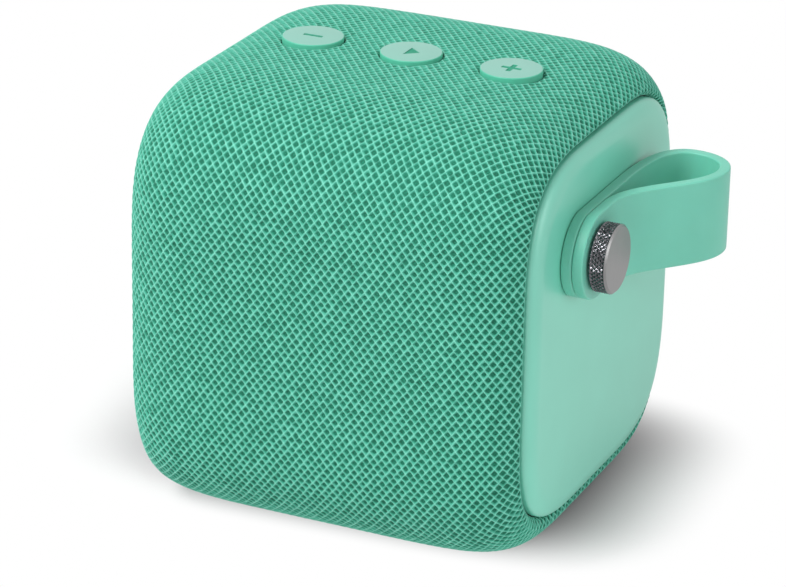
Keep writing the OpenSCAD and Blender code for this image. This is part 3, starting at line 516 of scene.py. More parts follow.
def beside_panel(u):
    """0 on most of the wrap, rising to 1 where it rolls over beside the panel."""
    return np.clip((np.abs(u) - half_width + RIM_WIDTH) / RIM_BLEND, 0, 1)


def sunk(u, v, depth):
    """Points of the surface at (u, v), moved `depth` below it along the normal."""
    return look_up(table_points, u, v) - depth[:, None] * look_up(table_normals, u, v)


def place_knit(u, v, depth):
    """Points of the knit: it is a little thinner where it rolls over, and even there."""
    rim = beside_panel(u)
    return sunk(u, v, depth * (1 - 0.35 * rim) - unevenness(u, v) * (1 - rim))


# %% Cells of the lattice
# Corners and edge middles of a cell, in quarters of a cell, anticlockwise as seen from outside.
OUTLINE = np.array([(2, 0), (1, 1), (0, 2), (-1, 1), (-2, 0), (-1, -1), (0, -2), (1, -1)])
# Each inner loop: how far out its corners lie across and round, its edge middles, its depth, its
# painted shade, and how far it leans across. Holes are rounder than the cells, so most yarn lies
# above and below them, and one wall is wider than the other, because each strand lies over its
# neighbour.
LOOPS = [((0.85, 0.75), (0.93, 0.86), 0.07, 0.66, 0), ((0.69, 0.55), (0.78, 0.67), 0.2, 0.36, 0.06),
         ((0.52, 0.42), (0.60, 0.51), 0.36, 0.08, 0.17)]

SIDES = len(OUTLINE)
# How far cells differ from each other: their stretch, their place and the painted shade of their holes.
STRETCH_SPREAD, PLACE_SPREAD, SHADE_SPREAD = 0.06, 0.09, 0.11

column, row = np.meshgrid(np.arange(-2 * KNIT_COLUMNS, 2 * KNIT_COLUMNS + 1), np.arange(2 * KNIT_ROWS),
                          indexing="ij")
is_cell = (column + row) % 2 == 0
centre = np.stack([column[is_cell] * 2, row[is_cell] * 2], 1)
ridge = centre[:, None] + OUTLINE[None]
ridge[..., 1] %= 4 * KNIT_ROWS
keys = (ridge[..., 0] + 8 * KNIT_COLUMNS) * 4 * KNIT_ROWS + ridge[..., 1]
unique_keys, ridge_index = np.unique(keys, return_inverse=True)
ridge_index = ridge_index.reshape(keys.shape)
ridge_u = (unique_keys // (4 * KNIT_ROWS) - 8 * KNIT_COLUMNS) * knit_across / 4
ridge_v = unique_keys % (4 * KNIT_ROWS) * knit_round / 4

crossing = unique_keys % 2 == 0
# The ridge is a painted highlight, brightest where strands cross.
parts = [(ridge_u, ridge_v, np.where(crossing, 0, 0.03), np.where(crossing, 1.0, 0.88))]
loop_index = [ridge_index]
count = len(ridge_u)
random = np.random.default_rng(7)
stretch, offset = (spread * random.standard_normal((len(centre), 1, 2)).clip(-2, 2)
                   for spread in (STRETCH_SPREAD, PLACE_SPREAD))
darker = SHADE_SPREAD * random.standard_normal(len(centre)).clip(-1, 2)
for at_corner, at_middle, depth, shade, lean in LOOPS:
    scale = np.where(np.arange(SIDES)[:, None] % 2 == 0, at_corner, at_middle)
    local = centre[:, None] + OUTLINE * scale * (1 + stretch) + offset + (lean, 0)
    parts.append((local[..., 0].ravel() * knit_across / 4, local[..., 1].ravel() * knit_round / 4,
                  np.full(len(centre) * SIDES, depth),
                  np.repeat(shade + darker * (shade < 0.5), SIDES)))
    loop_index.append(count + np.arange(len(centre) * SIDES).reshape(-1, SIDES))
    count += len(centre) * SIDES
knit_u, knit_v, knit_depth, knit_painted_shade = (np.concatenate(part) for part in zip(*parts))
knit_points = place_knit(knit_u, knit_v, knit_depth)
inner = np.min([np.linalg.norm(knit_points[:, :2] - (x, BUTTON_Y), axis=1) for x in BUTTON_X], axis=0)
in_hole = (inner < BUTTON_HOLE) & (knit_points[:, 2] > MID_Z)
knit_points = settle_round_buttons(knit_points)

bands = [np.stack([outer, np.roll(outer, -1, 1), np.roll(within, -1, 1), within], -1)
         for outer, within in zip(loop_index[:-1], loop_index[1:])]
quads = np.concatenate([band.reshape(-1, 4) for band in bands])
quad_row = np.tile(np.repeat(centre[:, 1], SIDES), len(LOOPS))
shown = ~in_hole[quads].all(1)
quads, quad_row = quads[shown], quad_row[shown]
print(len(centre), "cells,", len(quads), "faces")

# %% Shading normals for the whole lattice, and the pieces
a, b, c, d = (knit_points[quads[:, k]] for k in range(4))
facing = np.cross(c - a, d - b)
outward = np.sum(facing * ((a + c) / 2 - (0, 0, MID_Z)), axis=1)
if np.median(outward) < 0:
    quads, facing = quads[:, ::-1], -facing
knit_normals = np.stack([np.bincount(quads.ravel(), np.repeat(facing[:, k], 4), len(knit_points))
                         for k in range(3)], 1)
knit_normals /= np.maximum(np.linalg.norm(knit_normals, axis=1, keepdims=True), 1e-12)

KNIT_PIECES = 6
for k in range(KNIT_PIECES):
    own = quads[quad_row * KNIT_PIECES // (4 * KNIT_ROWS) == k]
    used, local = np.unique(own, return_inverse=True)
    mesh = mesh_of(knit_points[used], local.reshape(-1, 4))
    # The attribute named knit_depth carries the painted shade and highlight, not the depth.
    attribute = mesh.attributes.new("knit_depth", "FLOAT", "POINT")
    attribute.data.foreach_set("value", knit_painted_shade[used].astype(np.float32))
    piece(f"fabric_knit_{k + 1}", mesh, "root", knit_material,
                             ["fabric_sleeve"], sharp=0)
    mesh.normals_split_custom_set_from_vertices(knit_normals[used])

# %% [markdown]
# The lining is one thin cloth under the knit, closed like a flat hose. It is the sheet that the
# holes show, and the knit pieces go with it.

# %% Lining
LINING_TOP, LINING_BOTTOM = 0.34, 0.5
lining_u = np.linspace(-half_width + 0.1, half_width - 0.1, 85)
lining_v = np.linspace(0, round_length, 400, endpoint=False)
grid_u, grid_v = (g.ravel() for g in np.meshgrid(lining_u, lining_v, indexing="ij"))
thinner = 1 - 0.2 * beside_panel(grid_u)
outer, inner = (sunk(grid_u, grid_v, depth * thinner).reshape(len(lining_u), len(lining_v), 3)
                for depth in (LINING_TOP, LINING_BOTTOM))
lining_mesh = loft(np.concatenate([outer, inner[::-1]]), close_rows=True)
lining = piece("fabric_lining", lining_mesh, "root", lining_material, ["fabric_sleeve"],
               sharp=0)
carve(lining, *[turned([(80, 7.0), (110, 7.0)], (x, BUTTON_Y, 0), (0, 0, 1), 64) for x in BUTTON_X])
print("lining", len(lining.data.polygons), "faces")


# %% [markdown]
# ## Soft-touch panels
# A moulded plate closes each side. Its border is a rounded square inside the cloth's seam, and a
# soft bevel leads up to a flat face. Stacked rings of that outline make the shell: round the
# bevel, down the border, and back up inside, because the real plate is a hollow moulding. The
# finish is a rubber-like paint: an even colour that the light fades softly over, with the finest
# orange peel.

# %% Panel outline and finish
PANEL_FACE, PANEL_BACK, PANEL_SKIN = 46.8, 43.2, 2.2
BEVEL_DEPTH, BEVEL_WIDTH = 2.3, 4.2


def panel_outline(inset, steps=26):
    """The panel's border drawn in by `inset` from the cloth's outside: superellipse corners of
    power 3.2 whose reach shrinks as the outline does, so that it stays an even distance away."""
    reach = WRAP_REACH - (inset - PANEL_INSET)
    flat_y, flat_z = HALF_D - PANEL_INSET - WRAP_REACH, HALF_H - PANEL_INSET - WRAP_REACH
    curve, length = superellipse(PANEL_POWER)
    share = np.linspace(0, length[-1], steps)
    corner = reach * np.stack([np.interp(share, length, curve[:, k]) for k in (0, 1)], 1)
    quarter = corner + (flat_y, flat_z)
    half = np.concatenate([quarter, quarter[::-1] * (-1, 1)])
    return np.concatenate([half, -half]) + (0, MID_Z)


def soft_touch(name, base, fade, roughness, index):
    """Rubberised paint: a deep colour, paler where it is seen at a low angle because its clear skin
    mirrors the studio softly there; faintly mottled, with a fine orange peel."""
    return grained(name, base, fade, (60, 2, 0.3), 3500, 0.12, 3e-5, Roughness=roughness,
                   IOR=index)


panel_material = soft_touch("soft-touch panel paint", "#6ec7b0", "#6bc3ac", 0.4, 1.8)


def panel_mesh(side):
    """Rings (x, inset): an elliptical bevel from the border to the face, the border's wall, the
    back edge, and the hollow behind the skin. `side` is 1 for the right panel, -1 for the left."""
    t = np.linspace(0, np.pi / 2, 14)
    bevel = np.stack([PANEL_FACE - BEVEL_DEPTH * (1 - np.cos(t)),
                      PANEL_INSET + BEVEL_WIDTH - BEVEL_WIDTH * np.sin(t)], 1)
    inside = PANEL_INSET + PANEL_SKIN + 0.6
    rings = [*bevel, (PANEL_BACK + 0.15, PANEL_INSET), (PANEL_BACK, PANEL_INSET + 0.15),
             (PANEL_BACK, inside), (PANEL_FACE - PANEL_SKIN, inside)]
    return stacked([(side * x, panel_outline(inset)) for x, inset in rings])


SCREW_Y, SCREW_Z = -18.2, 68.4
SCREW_LINE = (0, SCREW_Y, SCREW_Z), (1, 0, 0)
right_panel = piece("right_panel_shell", panel_mesh(1), "root", panel_material,
                    ["right_panel"], sharp=0)
carve(right_panel, turned([(40, 2.1), (50, 2.1)], *SCREW_LINE, 48))
print("right panel", len(right_panel.data.polygons), "faces")

# %% [markdown]
# The left panel has the same shell, cut open for the two round buttons, the light and the ports.
# A flap covers the ports. Each opening's edge but the jack's is broken by a small chamfer, as a
# mould leaves it, so its cutter flares out just under the face.

# %% Left panel and its openings
BUTTONS_Y, SIDE_Z, LIGHT_Y = (-24.0, -16.2), 19.4, -10.2
FLAP_Y, FLAP_Z = (-9.05, 12.45), (15.03, 26.03)
HINGE_X, HINGE_Z, HINGE_R = -46.1, 15.83, 0.8
CHAMFER = 0.2


def round_cutter(y, radius, deep):
    """A round cutter from `deep` behind the face to outside it, flared by a chamfer at the face."""
    flared = radius + CHAMFER
    return turned([(-deep, radius), (-CHAMFER, radius), (0, flared), (1, flared)],
                  (-PANEL_FACE, y, SIDE_Z), (-1, 0, 0), 48)


def pocket(y, z, radius, deep):
    """A pocket with round corners, flared by a chamfer at the face. Rings go outwards along -x."""
    flare = (deep, 0), (CHAMFER, 0), (0, CHAMFER), (-1, CHAMFER)
    return stacked([(depth - PANEL_FACE,
                     box_outline((y[0] - grow, y[1] + grow), (z[0] - grow, z[1] + grow), radius))
                    for depth, grow in flare])


left_panel = piece("left_panel_shell", panel_mesh(-1), "root", panel_material,
                   ["left_panel"], sharp=0)
flap_bay = pocket(FLAP_Y, (FLAP_Z[0] + 0.2, FLAP_Z[1]), 1.1, 2.0)
hinge_sill = pocket(FLAP_Y, (FLAP_Z[0] - 0.1, HINGE_Z + 0.9), 0.2, 0.7)
hinge_groove = turned([(FLAP_Y[0], 0.9), (FLAP_Y[1], 0.9)], (HINGE_X, 0, HINGE_Z), (0, 1, 0), 32)
usb_opening = pocket((-7.77, 1.77), (17.3, 21.16), 0.9, 8)
jack_opening = turned([(-50, 2.75), (-40, 2.75)], (0, 6.0, 20.1), (1, 0, 0), 48)
carve(left_panel, flap_bay, hinge_sill, hinge_groove, usb_opening, jack_opening,
      *[round_cutter(y, 3.15, 8) for y in BUTTONS_Y], round_cutter(LIGHT_Y, 1.0, 8))
print("left panel", len(left_panel.data.polygons), "faces")

# %% [markdown]
# ## Flap, side buttons and light
# The flap is a small silicone plate with a barrel along its lower edge, on which it turns, and a
# scoop for a fingernail. It is lofted from rings of a rounded rectangle whose edges are filleted.

# %% Silicone finish
def silicone(name, base, fade):
    """Dyed silicone: a dense, slightly waxy rubber. Light enters a little way, so it gets a small
    subsurface share, and its skin is dulled by very fine dust-like grain."""
    return grained(name, base, fade, (90, 3, 0.32), 5200, 0.14, 3e-5, Roughness=0.5, Sheen_Weight=0.1,
                   Sheen_Roughness=0.4, Subsurface_Weight=0.08, Subsurface_Scale=0.001)


strap_material = silicone("strap silicone", "#6bbfa9", "#67baa4")
print("finish:", strap_material.name)


# %% Flap
FLAP_BACK, FLAP_GAP = -45.1, 0.1
flap_y = (FLAP_Y[0] + FLAP_GAP, FLAP_Y[1] - FLAP_GAP)


def flap_outline(inset):
    """The flap's outline drawn in by `inset`."""
    return box_outline((flap_y[0] + inset, flap_y[1] - inset),
                       (HINGE_Z + inset, FLAP_Z[1] - 0.2 - inset), 1.0)


flap_edge = fillet([(-PANEL_FACE, 3), (-PANEL_FACE, 0), (FLAP_BACK, 0), (FLAP_BACK, 3)], 0.3)
flap = piece("flap_plate", stacked([(x, flap_outline(inset)) for x, inset in flap_edge]),
             "flap_body", strap_material, ["port_flap"])
scoop = turned([(-2.3, 0.2), (-1.7, 0.9), (5.1, 0.9), (5.7, 0.2)], (-PANEL_FACE - 0.1, 0, FLAP_Z[1]),
               (0, 1, 0), 32)
carve(flap, scoop)
barrel_edge = fillet([(flap_y[0], 0.3), (flap_y[0], HINGE_R), (flap_y[1], HINGE_R), (flap_y[1], 0.3)],
                     0.2)
piece("flap_barrel", turned(barrel_edge, (HINGE_X, 0, HINGE_Z), (0, 1, 0), 32), "flap_body",
      strap_material, ["port_flap"])
print("flap", len(flap.data.polygons), "faces, turns about z =", HINGE_Z)

# %% Side buttons
# From the top: the cap, which stands out a little, the flange that keeps it in, and the stem.
side_cap = fillet([(PANEL_FACE + 0.5, 0.6), (PANEL_FACE + 0.42, 3.0), (44.5, 3.0), (44.5, 3.6),
                   (43.8, 3.6), (43.8, 1.4), (41.4, 1.4)], 0.35)
for name, y in zip(("power", "pairing"), BUTTONS_Y):
    piece(f"{name}_cap", turned(side_cap, (0, y, SIDE_Z), (-1, 0, 0), 64), f"{name}_press_body",
          panel_material, [f"{name}_button"], sharp=30)
print("side buttons at y =", BUTTONS_Y)

# %% [markdown]
# ## Caps on top
# Three moulded caps stand a little proud of the cloth. Each is turned, with a rounded edge, a
# flange and a stem below the cloth. Its sign is sunk into the top and filled with darker paint:
# a plate of the sign's outline cuts the recess, and a thinner plate fills it.
# Its top face takes a paler copy of the plastic than its sides: painted light on the top.

# %% Finishes of the caps
def moulded(name, base, fade, roughness, grain, depth):
    """Moulded plastic: a base colour with a slow cloud, and a spark-eroded grain of a given scale."""
    return grained(name, base, fade, (120, 2, 0.3), grain, 0.2, depth, Roughness=roughness)


cap_material = soft_touch("cap plastic", "#4fb396", "#4baf92", 0.5, 1.5)
# A paler copy of the cap plastic for the top face, as painted light where light falls on it.
cap_painted_lit_top = soft_touch("cap plastic with a rubbed top", "#71b0a0", "#6cab9b", 0.38, 1.9)
sign_material = moulded("sign paint", "#238b6e", "#1f8468", 0.7, 6000, 2e-5)

# %% Signs and caps
CAP_R, CAP_TOP, SIGN_DEPTH = 6.7, 98.7, 0.25
FLANGE_R, FLANGE_TOP, FLANGE_BOTTOM = 7.5, 93.77, 92.77
STEM_R, STEM_END = 2.2, 90.47
SIGN_SIZE = (4.4, 1.1)


def bar(length, width):
    """A bar's outline, centred, anticlockwise."""
    return np.array([(length, width), (-length, width), (-length, -width), (length, -width)]) / 2


def cross(length, width):
    """A plus sign's outline: twelve corners."""
    a, b = length / 2, width / 2
    quarter = np.array([(a, -b), (a, b), (b, b)])
    turn = np.array([[0, 1], [-1, 0]])
    return np.concatenate([quarter @ np.linalg.matrix_power(turn, k) for k in range(4)])


SIGNS = {"minus": bar(*SIGN_SIZE), "play": np.array([(-0.9, -2.35), (2.0, 0), (-0.9, 2.35)]),
         "plus": cross(*SIGN_SIZE)}
cap_profile = fillet([(CAP_TOP, 0.5), (CAP_TOP, CAP_R), (FLANGE_TOP, CAP_R), (FLANGE_TOP, FLANGE_R),
                      (FLANGE_BOTTOM, FLANGE_R), (FLANGE_BOTTOM, STEM_R), (STEM_END, STEM_R),
                      (STEM_END, 0.5)], 0.3)
for (name, sign), x in zip(SIGNS.items(), BUTTON_X):
    body = f"{name}_press_body"
    cap_mesh = turned(cap_profile, (x, BUTTON_Y, 0), (0, 0, 1))
    cap = piece(f"{name}_cap", cap_mesh, body, cap_material, [f"{name}_button"], sharp=30)
    place = sign + (x, BUTTON_Y)
    carve(cap, stacked([(CAP_TOP - SIGN_DEPTH, place), (CAP_TOP + 1, place)], axis=2))
    # The top faces take the paler copy: a painted lit top.
    second_finish(cap, cap_painted_lit_top, 2, CAP_TOP - 0.02)
    paint = [(CAP_TOP - SIGN_DEPTH - 0.05, place), (CAP_TOP - 0.15, place)]
    piece(f"{name}_sign", stacked(paint, axis=2), body, sign_material)
print("caps:", ", ".join(SIGNS))

# %% [markdown]
# ## Strap
# The strap is one flat moulded band with round ends, folded so that both ends lie on each other
# under the screw. It is drawn flat, as stadium outlines round a middle line with a filleted edge,
# and the flat shape is then bent along the route: the distance along the band becomes a place on
# the route, and the height above the band's middle goes along the route's normal.

# %% Route of the strap
STRAP_R, STRAP_T = 9.25, 2.4
SMOOTH = 9
ROUTE = [[(48.1, 3.8), (48.1, 16.8), (50.0, 25.8), (56.52, 25.8)],
         [(56.52, 25.8), (61.52, 25.8), (65.4, 22.3), (65.4, 17.3)],
         [(65.4, 17.3), (65.4, 7.3), (50.55, 1.3), (50.55, -10.7)]]
route = np.concatenate([[(48.1, -30.0), (48.1, SCREW_Y)], *[cubic(*part, 60)[1:] for part in ROUTE],
                        [(50.55, SCREW_Y), (50.55, -30.0)]])
along = lengths(route)
along -= along[1]
band = along[-2]
fine = np.linspace(along[0], along[-1], 1200)
fine_route = np.stack([np.interp(fine, along, route[:, k]) for k in (0, 1)], 1)
heading = np.pad(np.gradient(fine_route, axis=0), ((SMOOTH, SMOOTH), (0, 0)), mode="edge")
evenly = np.ones(2 * SMOOTH + 1) / (2 * SMOOTH + 1)
heading = np.stack([np.convolve(heading[:, k], evenly, "valid") for k in (0, 1)], 1)
heading /= np.linalg.norm(heading, axis=1, keepdims=True)
print(f"band {band:.1f} mm between its end holes")


def bend(s, w, h):
    """A flat point (along, across, above) carried onto the route."""
    x, y, dx, dy = (np.interp(s, fine, values) for values in (*fine_route.T, *heading.T))
    return np.stack([x + h * dy, y - h * dx, SCREW_Z + w], -1)


# %% Strap
def stadium(inset, straight=170, turn=30):
    """The band's outline drawn in by `inset`: two straight edges and two half circles."""
    s = np.linspace(0, band, straight)
    t = np.linspace(-np.pi / 2, np.pi / 2, turn)[1:-1]
    r = max(STRAP_R - inset, 0)
    edges = [np.stack([s, np.full(straight, -r)], 1), np.stack([s[::-1], np.full(straight, r)], 1)]
    return np.concatenate([edges[0], arc(r, t) + (band, 0), edges[1], -arc(r, t)])


half_t = STRAP_T / 2
strap_edge = fillet([(STRAP_R, half_t), (0, half_t), (0, -half_t), (STRAP_R, -half_t)], 0.42, 6)
strap_rings = np.stack([bend(*stadium(inset).T, height) for inset, height in strap_edge])
strap_quads = grid_quads(*strap_rings.shape[:2])
strap_mesh = closed(mesh_of(strap_rings.reshape(-1, 3), strap_quads))
strap = piece("strap_band", strap_mesh, "strap_body", strap_material, ["strap"], sharp=0)
carve(strap, turned([(40, 2.05), (60, 2.05)], *SCREW_LINE, 48))
print("strap", len(strap.data.polygons), "faces, reaches x =", round(strap_rings[..., 0].max(), 2))

# %% [markdown]
# ## Thumb screw
# A turned steel screw with a black-nickel finish holds the strap. Its rim is knurled: two sets of
# grooves wind round it in opposite directions and leave rows of small pyramids. The radius is a
# function of angle and place along the axis, with the deeper of both grooves taken off. The face
# is flat and lightly brushed, and the thread is the same kind of function with one groove.

# The knurled rim takes a darker copy of the face's black nickel, as painted shade on the knurl.
# %% Metal finishes
def metal(name, base, fade, roughness, scale, stretch=(1, 1, 1)):
    """Bare or plated metal: a colour with faint streaks, and a roughness that varies along them."""
    material, tree, shader = new_material(name, Metallic=1.0)
    place = add(tree, "TexCoord").outputs["Object"]
    mapped = add(tree, "Mapping", {"Vector": place}, Scale=stretch).outputs[0]
    streak = add(tree, "TexNoise", {"Vector": mapped}, Scale=scale, Detail=3).outputs["Fac"]
    colour = ramp(tree, streak, [(0.3, fade), (0.7, base)])
    varied = add(tree, "MapRange", {"Value": streak}, To_Min=roughness * 0.85, To_Max=roughness * 1.15)
    feed(shader, Base_Color=colour, Roughness=varied.outputs[0])
    return material


face_metal = metal("brushed black nickel", "#8e8e8e", "#868686", 0.38, 400, (1, 12, 1))
# The same black nickel as the face, painted darker on the knurl as painted shade.
knurl_metal_painted_dark = metal("knurled black nickel, painted darker", "#77777b", "#38383b", 0.16, 1500)

# %% Screw head and thread
HEAD_X, HEAD_R, HEAD_T = 52.15, 7.4, 3.9
KNURLS, KNURL_PITCH, KNURL_DEPTH = 46, 1.12, 0.3


def zigzag(t):
    """1 at whole numbers and 0 half way between them, in straight lines."""
    return np.abs(2 * (t - np.floor(t)) - 1)


def round_screw(x, t, r):
    """Rings about the screw's line: place along it, angles, and radius at each place and angle."""
    return np.stack([x[:, None] + 0 * t, SCREW_Y + r * np.cos(t), SCREW_Z + r * np.sin(t)], -1)


def knurled_rim():
    """Rings of the head. Grooves lie where n*angle/turn + x/pitch or n*angle/turn - x/pitch is a
    whole number, and fade out at both ends of the rim, where the chamfers are."""
    rim = np.linspace(0.38, HEAD_T - 0.5, 40)
    x = np.concatenate([[0, 0.06, 0.2], rim, [HEAD_T - 0.42, HEAD_T - 0.04, HEAD_T]])
    radius = np.concatenate([[HEAD_R - 0.34, HEAD_R - 0.24, HEAD_R - 0.1], np.full(40, HEAD_R),
                             [HEAD_R - 0.08, HEAD_R - 0.46, HEAD_R - 0.54]])
    turns = np.arange(KNURLS * 12)[None] / (KNURLS * 12)
    a, b = (KNURLS * turns + hand * x[:, None] / KNURL_PITCH for hand in (1, -1))
    fade = np.clip(np.minimum(x - 0.3, HEAD_T - 0.44 - x) / 0.25, 0, 1)[:, None]
    r = radius[:, None] - KNURL_DEPTH * np.maximum(zigzag(a), zigzag(b)) * fade
    return round_screw(HEAD_X + x, 2 * np.pi * turns, r)


head = piece("screw_head", loft(knurled_rim()), "screw_body", knurl_metal_painted_dark,
             ["strap_screw"], sharp=26)
second_finish(head, face_metal, 0, HEAD_X + HEAD_T - 0.4)
THREAD_R, THREAD_PITCH, THREAD_DEPTH = 2.0, 0.7, 0.22


def threaded_shank():
    """Rings of the thread: the radius falls along one groove that winds once for each pitch."""
    x = np.linspace(36.8, HEAD_X + 0.02, 260)
    t = np.linspace(0, 2 * np.pi, 32, endpoint=False)[None]
    groove = zigzag(x[:, None] / THREAD_PITCH + t / (2 * np.pi))
    fade = np.clip((x - 36.9) / 0.8, 0, 1) * np.clip((51.2 - x) / 0.8, 0, 1)
    r = THREAD_R - np.clip(37.4 - x, 0, None)[:, None] * 0.5 - THREAD_DEPTH * groove * fade[:, None]
    return round_screw(x, t, r)


piece("screw_thread", loft(threaded_shank()), "screw_body", face_metal, ["strap_screw"],
      sharp=0)
print("knurl:", KNURLS, "pyramids round,", len(head.data.polygons), "faces")

# %% Washer
washer_material = moulded("nylon", "#e9ebe8", "#dfe2df", 0.45, 3000, 2e-5)
washer_section = [(51.8, 2.05), (51.8, 5.75), (51.85, 5.8), (52.05, 5.8), (52.1, 5.75), (52.1, 2.05)]
washer_mesh = turned(washer_section, *SCREW_LINE, ring=True)
washer = piece("screw_washer_ring", washer_mesh, "washer_body", washer_material,
               ["screw_washer"])
print("washer", len(washer.data.polygons), "faces")

# %% [markdown]
# ## Foot
# The speaker stands on a flat ring of rubber: a stadium band, seen from below only. Its section is
# a rectangle with rounded edges, and the ring follows the stadium at an even width.

# %% Foot ring
FOOT_R, FOOT_REACH, FOOT_BAND, FOOT_T = 15, 13, 3.6, 0.78


def foot_outline(inset, steps=40):
    """The foot's outline drawn in by `inset`: half circles about points `reach` from the middle."""
    t = np.linspace(-np.pi / 2, np.pi / 2, steps)
    right_half = arc(FOOT_R - inset, t) + (FOOT_REACH, 0)
    return np.concatenate([right_half, -right_half])


foot_middle = (FOOT_BAND / 2, FOOT_T)
foot_section = fillet([foot_middle, (0, FOOT_T), (0, 0), (FOOT_BAND, 0), (FOOT_BAND, FOOT_T),
                       foot_middle], 0.2, 4)[:-1]
foot_material = silicone("foot rubber", "#4f9683", "#468b78")
foot_rings = [(z, foot_outline(inset)) for inset, z in foot_section]
foot = piece("foot_band", stacked(foot_rings, 2, close_rows=True), "root",
             foot_material, ["foot_ring"])
print("foot", len(foot.data.polygons), "faces")

# %% [markdown]
# ## Finishes for the working parts
# The other pieces keep their own exact shapes and sit inside, seen only through a hole or when the
# speaker is taken apart. Each still gets the finish of the real thing: moulded plastics with a
# spark-eroded grain, plated steel, solder-masked boards, paper pulp, ferrite and enamelled wire.

# %% Inner finishes
INNER = {
    "black_plastic": moulded("black ABS", "#26282a", "#1e2022", 0.5, 3500, 3e-5),
    "dark_plastic": moulded("cabinet ABS", "#3c3f40", "#343738", 0.55, 2500, 4e-5),
    "white_plastic": washer_material,
    "chip": moulded("epoxy package", "#1c1d1f", "#151617", 0.6, 9000, 1e-5),
    "ferrite": moulded("ferrite", "#37373a", "#2c2c2f", 0.65, 5000, 3e-5),
    "cell_sleeve": moulded("cell sleeve", "#3f7fae", "#39749f", 0.35, 1500, 1e-5),
    "tape": moulded("foam tape", "#222325", "#2c2d2f", 0.95, 7000, 8e-5),
    "board": moulded("solder mask", "#1c5f3c", "#174f33", 0.35, 1200, 1e-5),
    "paper_cone": moulded("paper pulp", "#3a3a3b", "#2c2c2d", 0.9, 2600, 6e-5),
    "spider_cloth": moulded("resined cloth", "#c7963f", "#a9782f", 0.85, 4500, 6e-5),
    "ribbon": moulded("polyimide", "#b06a2c", "#9c5a22", 0.35, 900, 1e-5),
    "wire_red": moulded("red insulation", "#a8241f", "#931c18", 0.4, 2500, 1e-5),
    "wire_black": moulded("black insulation", "#1b1b1c", "#141415", 0.4, 2500, 1e-5),
    "clear_plastic": moulded("clear acrylic", "#eef3f1", "#e2e8e6", 0.15, 1500, 1e-5),
    "surround_rubber": silicone("butyl rubber", "#212123", "#19191b"),
    "silicone": strap_material,
    "soft_touch": panel_material,
    "foot_rubber": foot_material,
    "cap": cap_material,
    "fabric": lining_material,
    "steel": metal("zinc-plated steel", "#c3c4c3", "#a9aaaa", 0.32, 900),
    "brass": metal("brass", "#d0a85a", "#b98f45", 0.3, 900),
    "can": metal("tinned can", "#c9cbcc", "#b3b5b7", 0.3, 600),
    "copper": metal("enamelled copper", "#c1693a", "#a8542a", 0.3, 1500, (1, 1, 12)),
    "frame_steel": metal("pressed steel", "#8d8f91", "#7b7d7f", 0.4, 500),
    "grille_steel": metal("painted grille", "#2d2f31", "#242628", 0.5, 1200),
    "gunmetal": face_metal,
}
for node in nodes.values():
    for slot in node.material_slots:
        slot.material = INNER[slot.material.name.split(".")[0]]
print(len(INNER), "finishes on", len(nodes), "nodes")

# %% [markdown]
# ## Light and floor
# A pale floor and soft studio light: one lamp high on the left, which rakes the knit, a small one
# in front that picks out the knurl, a low, weaker fill at the right, and an even world. The world
# shows as white to the camera, to gloss and to glass, and so does the floor, except on a patch
# under the speaker that keeps its shadow. There the floor's colour is also painted grey, faintly
# pink against the speaker's green bounce, as a painted shadow. What falls on the speaker keeps
# colours as written.

# %% World
AMBIENT = 0.34
world = bpy.data.worlds.new("studio")
scene.world = world
world.use_nodes = True
tree = world.node_tree
tree.nodes.clear()
seen = seen_by(tree, "Is Camera Ray", "Is Glossy Ray", "Is Transmission Ray")
level = add(tree, "MapRange", {"Value": seen}, To_Min=AMBIENT)
background = add(tree, "Background", {"Strength": level.outputs[0]}, Color=linear("#ffffff"))
add(tree, "OutputWorld", {"Surface": background.outputs[0]})
scene.view_settings.view_transform = "Standard"
print("world at", AMBIENT, "for what it lights")

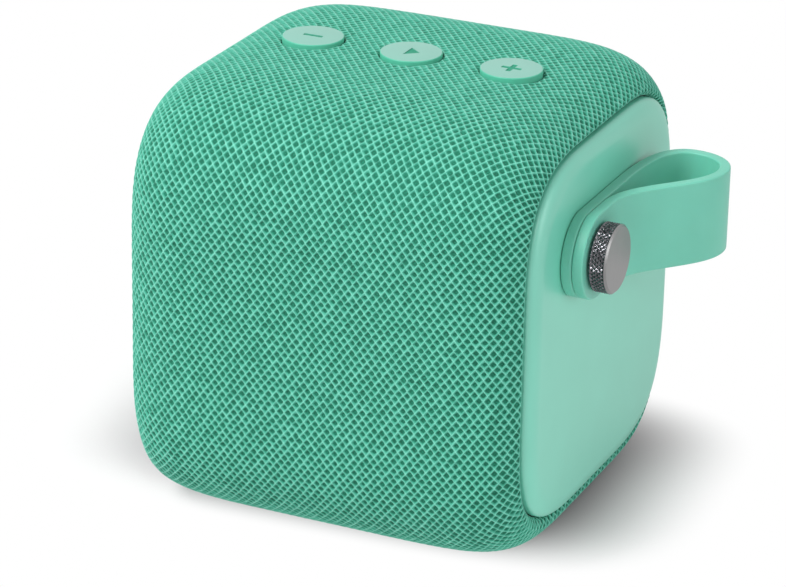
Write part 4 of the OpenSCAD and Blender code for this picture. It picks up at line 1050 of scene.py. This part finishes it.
# %% Floor
FLOOR = 4000
corners = FLOOR * np.array([(-1, -1, 0), (1, -1, 0), (1, 1, 0), (-1, 1, 0)], float)
floor_mesh = mesh_of(corners, np.array([[0, 1, 2, 3]]))
floor = bpy.data.objects.new("floor", floor_mesh)
scene.collection.objects.link(floor)
floor_material, tree, shader = new_material("pale studio floor with a painted shadow", Roughness=0.9)
place = add(tree, "TexCoord").outputs["Object"]
painted_shadow_patch = add(tree, "Mapping", {"Vector": place}, vector_type="TEXTURE", Location=(-0.009, 0.015, 0),
            Rotation=(0, 0, 0.05), Scale=(0.08, 0.052, 1)).outputs[0]
square = add(tree, "VectorMath", {0: painted_shadow_patch, 1: painted_shadow_patch}, operation="MULTIPLY").outputs[0]
far = add(tree, "VectorMath", {0: square}, operation="LENGTH").outputs["Value"]
edge = add(tree, "MapRange", {"Value": far}, From_Min=0.32, interpolation_type="SMOOTHSTEP")
# Painted shadow: the floor's own colour is grey under the speaker and white further out, faintly pink
# against the green light that the speaker throws on it.
feed(shader, Base_Color=ramp(tree, far, [(0.3, "#b5adb1"), (0.6, "#d3cdcf"), (0.95, "#fafafa")]))
seen = seen_by(tree, "Is Camera Ray", "Is Glossy Ray")
plain = add(tree, "Math", {0: edge.outputs[0], 1: seen}, operation="MULTIPLY")
white = add(tree, "Emission", Color=linear("#ffffff"))
mix = add(tree, "MixShader", {0: plain.outputs[0], 1: shader.outputs[0], 2: white.outputs[0]})
feed(next(n for n in tree.nodes if n.bl_idname == "ShaderNodeOutputMaterial"), Surface=mix.outputs[0])
floor_mesh.materials.append(floor_material)
print("floor", 2 * FLOOR, "mm across")


# %% Lamps
def lamp(name, place, size, power, aim=(0, 0, 0.05)):
    """A square area lamp that looks at a point of the speaker."""
    data = bpy.data.lights.new(name, "AREA")
    data.energy = power
    data.size = size
    made = bpy.data.objects.new(name, data)
    made.matrix_world = Matrix.Translation(place) @ (Vector(aim) - Vector(place)).to_track_quat(
        "-Z", "Y").to_matrix().to_4x4()
    scene.collection.objects.link(made)


lamp("key", (-0.34, -0.5, 0.82), 0.35, 9.9)
lamp("glint", (0.5, -0.78, 0.65), 0.14, 1.3)
lamp("fill", (1.05, -0.06, 0.42), 0.6, 2.9)
print("lamps and floor ready")
